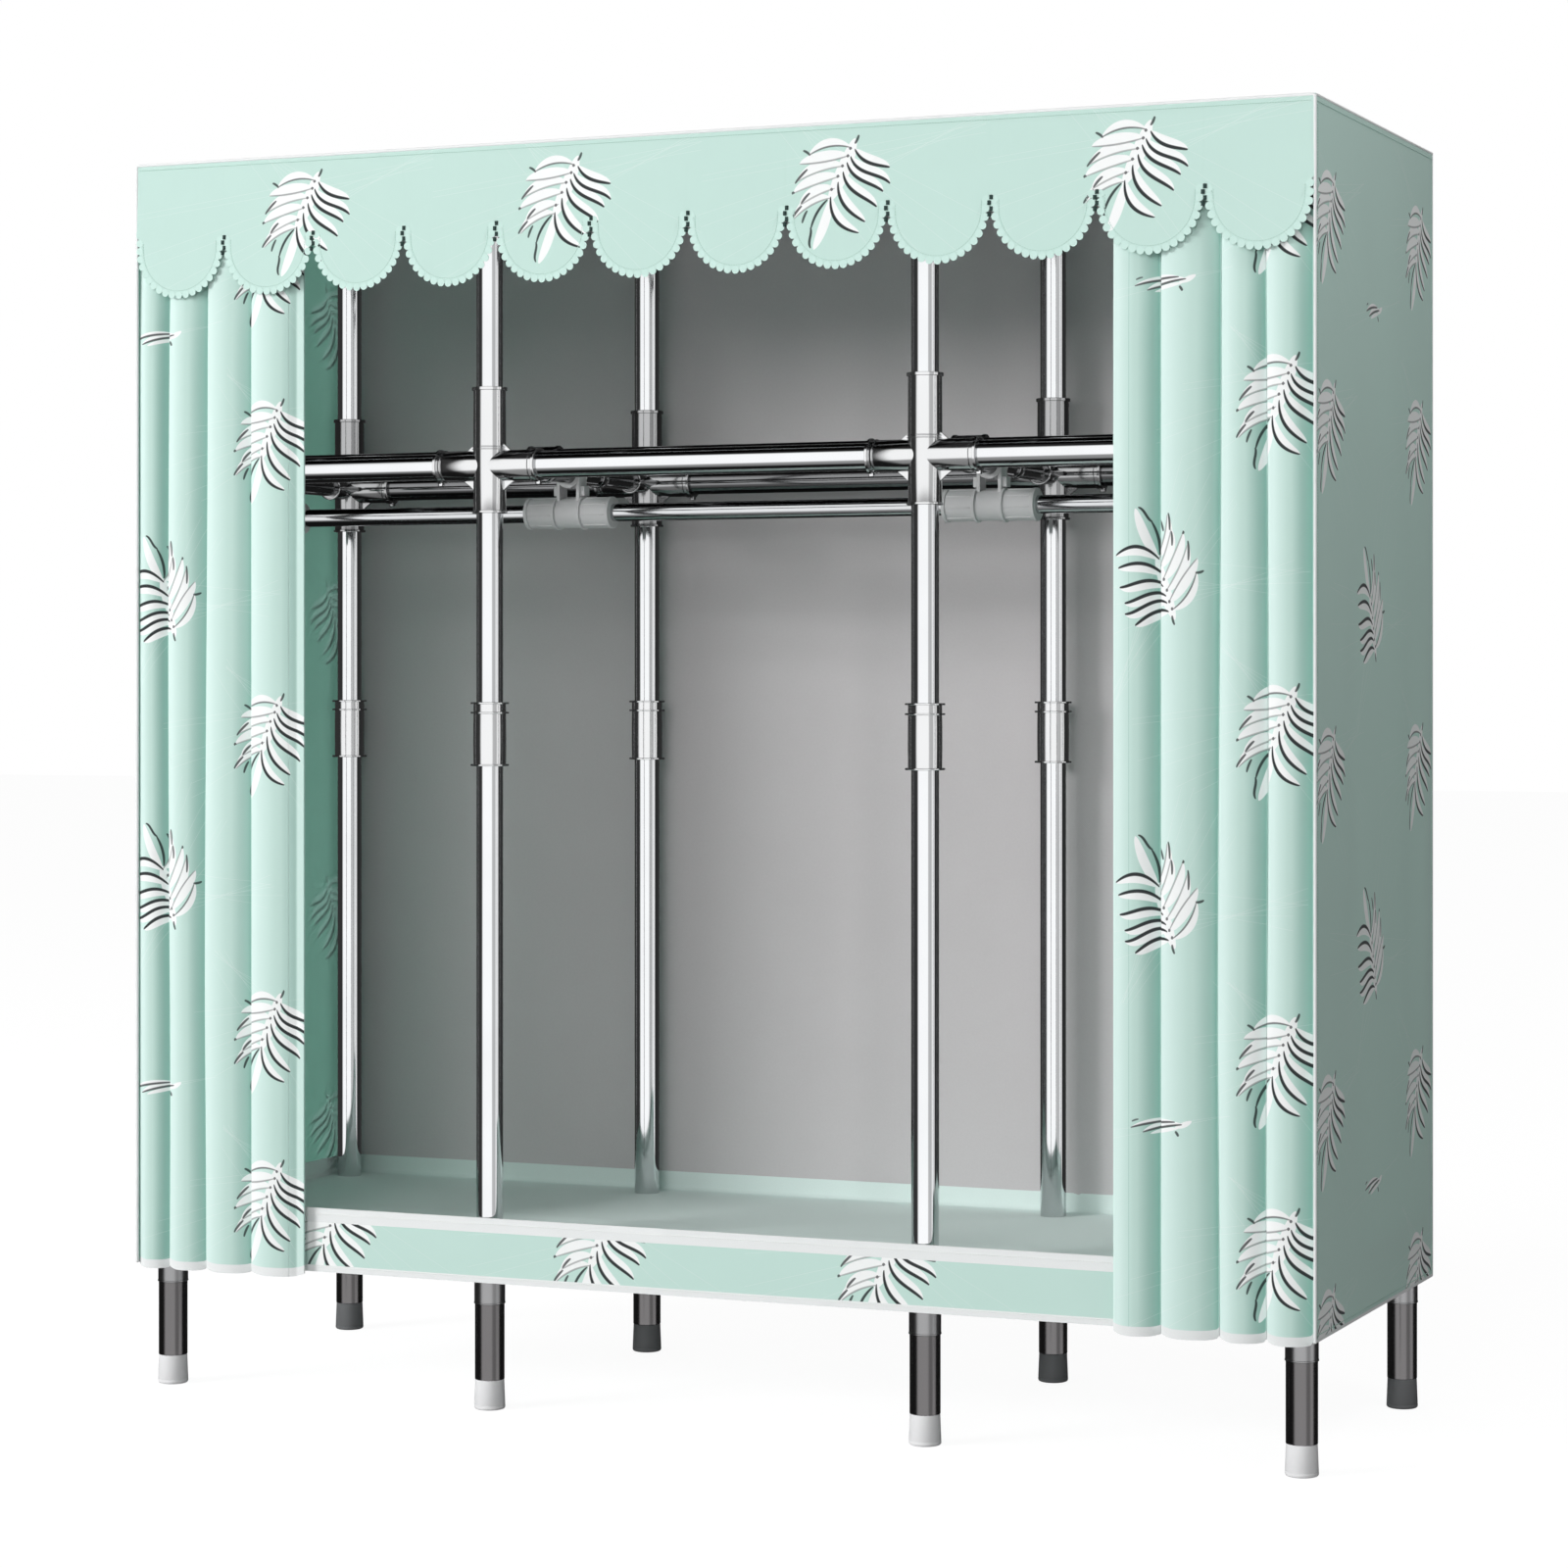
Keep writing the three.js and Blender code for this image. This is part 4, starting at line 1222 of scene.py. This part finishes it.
def add_floor_cloth():
    """The floor cloth, in one with its skirt in front and its lips at the sides and the back."""
    half, front, back = 843.4, -268.9, 293.0
    # one sheet from the skirt's hem over the skirt's top edge and the floor to the back lip
    profile = [(front, z) for z in [172.2, 181.5] + steps(192, 240, 5) + [249.5, 258.9]]
    profile += [(front + 0.9, 259.4), (front + 1.6, 258.6), (front + 1.9, 250), (front + 2.2, 240),
                (front + 3.2, 233.5), (front + 6, 231.6)]
    floor_start = len(profile)
    profile += [(y, 231.2) for y in steps(front + 16, back - 14, 26)]
    profile += [(back - 5, 231.5), (back - 1.6, 233.0), (back - 0.6, 238), (back - 0.4, 248),
                (back - 0.4, 259)]
    rows = []
    for r, (y, z) in enumerate(profile):
        row = []
        for x in steps(-half, half, 120):
            lift = out = 0.0
            if floor_start <= r < len(profile) - 5:
                lift = 0.5 * math.sin(x / 83 + y / 40) + 0.4 * math.sin(x / 31 - y / 70)
                crease = math.exp(-((y + 60 + 12 * math.sin(x / 260)) / 5.5) ** 2)
                lift += 2.2 * crease * max(0.0, 1 - (x / 800) ** 4)
            if 2 <= r <= 8:
                out = 0.25 * math.sin(x / 57) + 0.2 * math.sin(x / 23 + z / 30)
            row.append((x, y + out, z + lift))
        rows.append(row)
    made = cloth("floor_cloth", rows, [mint_print, white_binding, tray_cloth],
                 lambda r: 1 if r in (0, 7, 8, 9, 10) else 2 if r > 10 else 0,
                 prints=[(-545, 218, 1), (-139, 214, 1), (271, 213, 1)])
    length = round(run_along(profile)[-1], 3)
    finish_cloth(made, ["floor_tray"], (1.687, length), "stretched",
                 ["rail_bottom_front", "rail_bottom_back"], "mint_cloth")
    for side, word in ((-1, "left"), (1, "right")):
        rows = []
        for inset, z in ((14, 231.8), (4, 232.0), (0.9, 234), (0.5, 242), (0.4, 251), (0.4, 259)):
            rows.append([(side * (half - inset), y, z) for y in steps(front + 2.5, back - 1.2, 30)])
        lip = cloth(f"floor_lip_{word}", rows, [tray_cloth], thick=0.6)
        finish_cloth(lip, ["floor_tray"], (0.558, 0.04), "stretched", ["floor_cloth"], "mint_cloth")


add_roof()
add_side(-1, "left", mint_wall, LEFT_WALL_PRINTS)
add_side(1, "right", mint_print, SIDE_PRINTS)
add_back()
add_valance()
add_floor_cloth()
add_curtains()


# Sewn and repeated parts
class Growth:
    """A Geometry Nodes tree that makes something along a set of lines."""

    def __init__(self, name, sizes):
        self.tree = bpy.data.node_groups.new(name, "GeometryNodeTree")
        face = self.tree.interface
        face.new_socket("Lines", in_out="INPUT", socket_type="NodeSocketGeometry")
        self.sizes = {}
        for label, value in sizes.items():
            kind = "NodeSocketInt" if isinstance(value, int) else "NodeSocketFloat"
            self.sizes[label] = (face.new_socket(label, in_out="INPUT", socket_type=kind).identifier, value)
        face.new_socket("Mesh", in_out="OUTPUT", socket_type="NodeSocketGeometry")
        self.entry = self.tree.nodes.new("NodeGroupInput")

    def size(self, label):
        return self.entry.outputs[label]

    def node(self, kind, settings=None, values=None, out=0):
        made = self.tree.nodes.new(kind)
        for key, value in (settings or {}).items():
            setattr(made, key, value)
        for key, value in (values or {}).items():
            if isinstance(value, bpy.types.NodeSocket):
                self.tree.links.new(value, made.inputs[key])
            else:
                made.inputs[key].default_value = value
        return made.outputs[out]

    def lines(self):
        return self.node("GeometryNodeMeshToCurve", {}, {"Mesh": self.entry.outputs["Lines"]})

    def spots(self):
        """Points along the lines, a pitch apart."""
        values = {"Curve": self.lines(), "Length": self.size("Pitch")}
        return self.node("GeometryNodeResampleCurve", {"mode": "LENGTH"}, values)

    def round_bar(self, sides, radius, depth):
        values = {"Vertices": sides, "Radius": self.size(radius), "Depth": self.size(depth)}
        return self.node("GeometryNodeMeshCylinder", {"fill_type": "NGON"}, values)

    def grow(self, name, lines, geometry, finish, nodes):
        """Ends the tree, grows it on the lines and turns it into a plain mesh."""
        done = self.node("GeometryNodeRealizeInstances", {}, {"Geometry": geometry})
        done = self.node("GeometryNodeSetMaterial", {}, {"Geometry": done, "Material": finish})
        leave = self.tree.nodes.new("NodeGroupOutput")
        self.tree.links.new(done, leave.inputs["Mesh"])
        points, edges = [], []
        for line in lines:
            start = len(points)
            points += [tuple(c / 1000 for c in spot) for spot in line]
            edges += [(start + i, start + i + 1) for i in range(len(line) - 1)]
        mesh = bpy.data.meshes.new(name + "_lines")
        mesh.from_pydata(points, edges, [])
        made = placed(name, mesh)
        modifier = made.modifiers.new("grow", "NODES")
        modifier.node_group = self.tree
        for identifier, value in self.sizes.values():
            modifier[identifier] = value
        applied(made)
        made.data.name = name
        smoothed(made.data, 50)
        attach(made, "frame")
        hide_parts(*nodes)


def add_piping(name, lines, radius, nodes):
    """White cord in a bias strip, sewn into a seam."""
    growth = Growth(name + "_tree", {"Cord radius": radius / 1000, "Sides": 10})
    ring = growth.node("GeometryNodeCurvePrimitiveCircle", {}, {"Resolution": growth.size("Sides"),
                                                               "Radius": growth.size("Cord radius")})
    cord = growth.node("GeometryNodeCurveToMesh", {}, {"Curve": growth.lines(), "Profile Curve": ring,
                                                      "Fill Caps": True})
    growth.grow(name, lines, cord, white_binding, nodes)


def add_lobes(name, lines, radius, pitch, nodes):
    """The row of round picots along the scalloped edge."""
    sizes = {"Lobe radius": radius / 1000, "Pitch": pitch / 1000, "Thickness": 0.0009}
    growth = Growth(name + "_tree", sizes)
    spots = growth.spots()
    disc = growth.round_bar(18, "Lobe radius", "Thickness")
    disc = growth.node("GeometryNodeTransform", {}, {"Geometry": disc, "Rotation": (math.pi / 2, 0, 0)})
    row = growth.node("GeometryNodeInstanceOnPoints", {}, {"Points": spots, "Instance": disc})
    growth.grow(name, lines, row, picot_cloth, nodes)


def add_stitches(name, lines, nodes, finish, length=2.6, pitch=3.6, thick=0.42):
    """A row of machine stitches along each line."""
    sizes = {"Stitch length": length / 1000, "Pitch": pitch / 1000, "Thread": thick / 1000}
    growth = Growth(name + "_tree", sizes)
    spots = growth.spots()
    thread = growth.round_bar(6, "Thread", "Stitch length")
    along = growth.node("GeometryNodeInputTangent")
    turn = growth.node("FunctionNodeAlignRotationToVector", {"axis": "Z"}, {"Vector": along})
    values = {"Points": spots, "Instance": thread, "Rotation": turn}
    row = growth.node("GeometryNodeInstanceOnPoints", {}, values)
    growth.grow(name, lines, row, finish, nodes)


def scallop_line(n, radius, top, out=0.0):
    """A line down beside a scallop, round it and up again, on the valance's front."""
    middle = scallop_middle(n)
    line = [(middle - radius, top), (middle - radius, SCALLOP_Z + 4)]
    line += arc(radius, math.pi, math.pi, 40, (middle, SCALLOP_Z))
    line += [(middle + radius, SCALLOP_Z + 4), (middle + radius, top)]
    return [(x, valance_y(x, z) + out, z) for x, z in line]


def add_trim():
    thread = plain_binding("thread", (0.93, 0.95, 0.94))
    mint_thread = plain_binding("mint_thread", (0.50, 0.70, 0.63))
    dark_thread = plain_binding("dark_thread", (0.03, 0.055, 0.05))
    grey_thread = plain_binding("grey_thread", (0.30, 0.30, 0.31))
    lines = [scallop_line(n, 64.7, 1590.5) for n in range(SCALLOPS)]
    add_lobes("valance_picots", lines, 5.1, 10.9, ["valance"])
    lines = [scallop_line(n, 58.5, 1588, -0.3) for n in range(SCALLOPS)]
    add_stitches("valance_edge_stitches", lines, ["valance"], mint_thread)
    # near-black bar tacks in the slits between the scallops, which also stand in for the shadow in the slits:
    # painted shadow
    lines = []
    for n in range(1, SCALLOPS):
        for lean, top in ((1.3, 1593.0), (-1.3, 1586.0)):
            x, y = -VALANCE_HALF + n * PITCH + lean, valance_y(0, top) - 0.5
            lines.append([(x, y, top), (x, y, top - 14.5)])
    add_stitches("valance_bar_tacks", lines, ["valance"], dark_thread, length=5.6, pitch=14.0, thick=2.6)
    # piping in the seams of the cover
    back, half, top = 293.4, 843.6, SEAM_Z
    line = [(-half, FRONT_Y, 173), (-half, FRONT_Y, 700), (-half, FRONT_Y, top - 2),
            (-half + 2, FRONT_Y, top)]
    line += [(0, FRONT_Y, top)] + [(-x, y, z) for x, y, z in reversed(line)]
    add_piping("piping_front", [line], 2.2, ["cover_left", "cover_right"])
    lines = [[(side * half, y, top) for y in (FRONT_Y, 0, back)] for side in (-1, 1)]
    add_piping("piping_top", lines, 1.9, ["cover_top"])
    line = [(-half, back, 173), (-half, back, top - 2), (-half + 2, back, top)]
    line += [(-x, y, z) for x, y, z in reversed(line)]
    add_piping("piping_back", [line], 1.7, ["cover_back"])
    lines = [[(-half + 6, -295.0, 1691.5), (half - 6, -295.0, 1691.5)]]
    add_stitches("valance_seam_stitches", lines, ["valance"], mint_thread)
    lines = [[(side * 845.1, y, z) for z in (178, 1690)] for side in (-1, 1) for y in (-287, 287)]
    lines += [[(side * 845.1, y, z) for y in (-287, 287)] for z in (1690.5, 181) for side in (-1, 1)]
    add_stitches("side_seam_stitches", lines, ["cover_left", "cover_right"], mint_thread)
    lines = [[(x, -269.6, z) for x in (-838, 838)] for z in (179.5, 251.5)]
    add_stitches("skirt_stitches", lines, ["floor_tray"], thread)
    lines = [[(x, 294.6, z) for x in (-836, 836)] for z in (181, 1690)]
    lines += [[(x, 294.6, z) for z in (182, 1688)] for x in (-836, 836)]
    add_stitches("back_stitches", lines, ["cover_back"], grey_thread)


add_trim()

# The tubes mirror the studio round them rather than the cloth
for cover in bpy.data.objects:
    if cover.name.split("_")[0] in ("roof", "side", "back", "valance", "curtain", "lead", "piping"):
        cover.visible_glossy = False
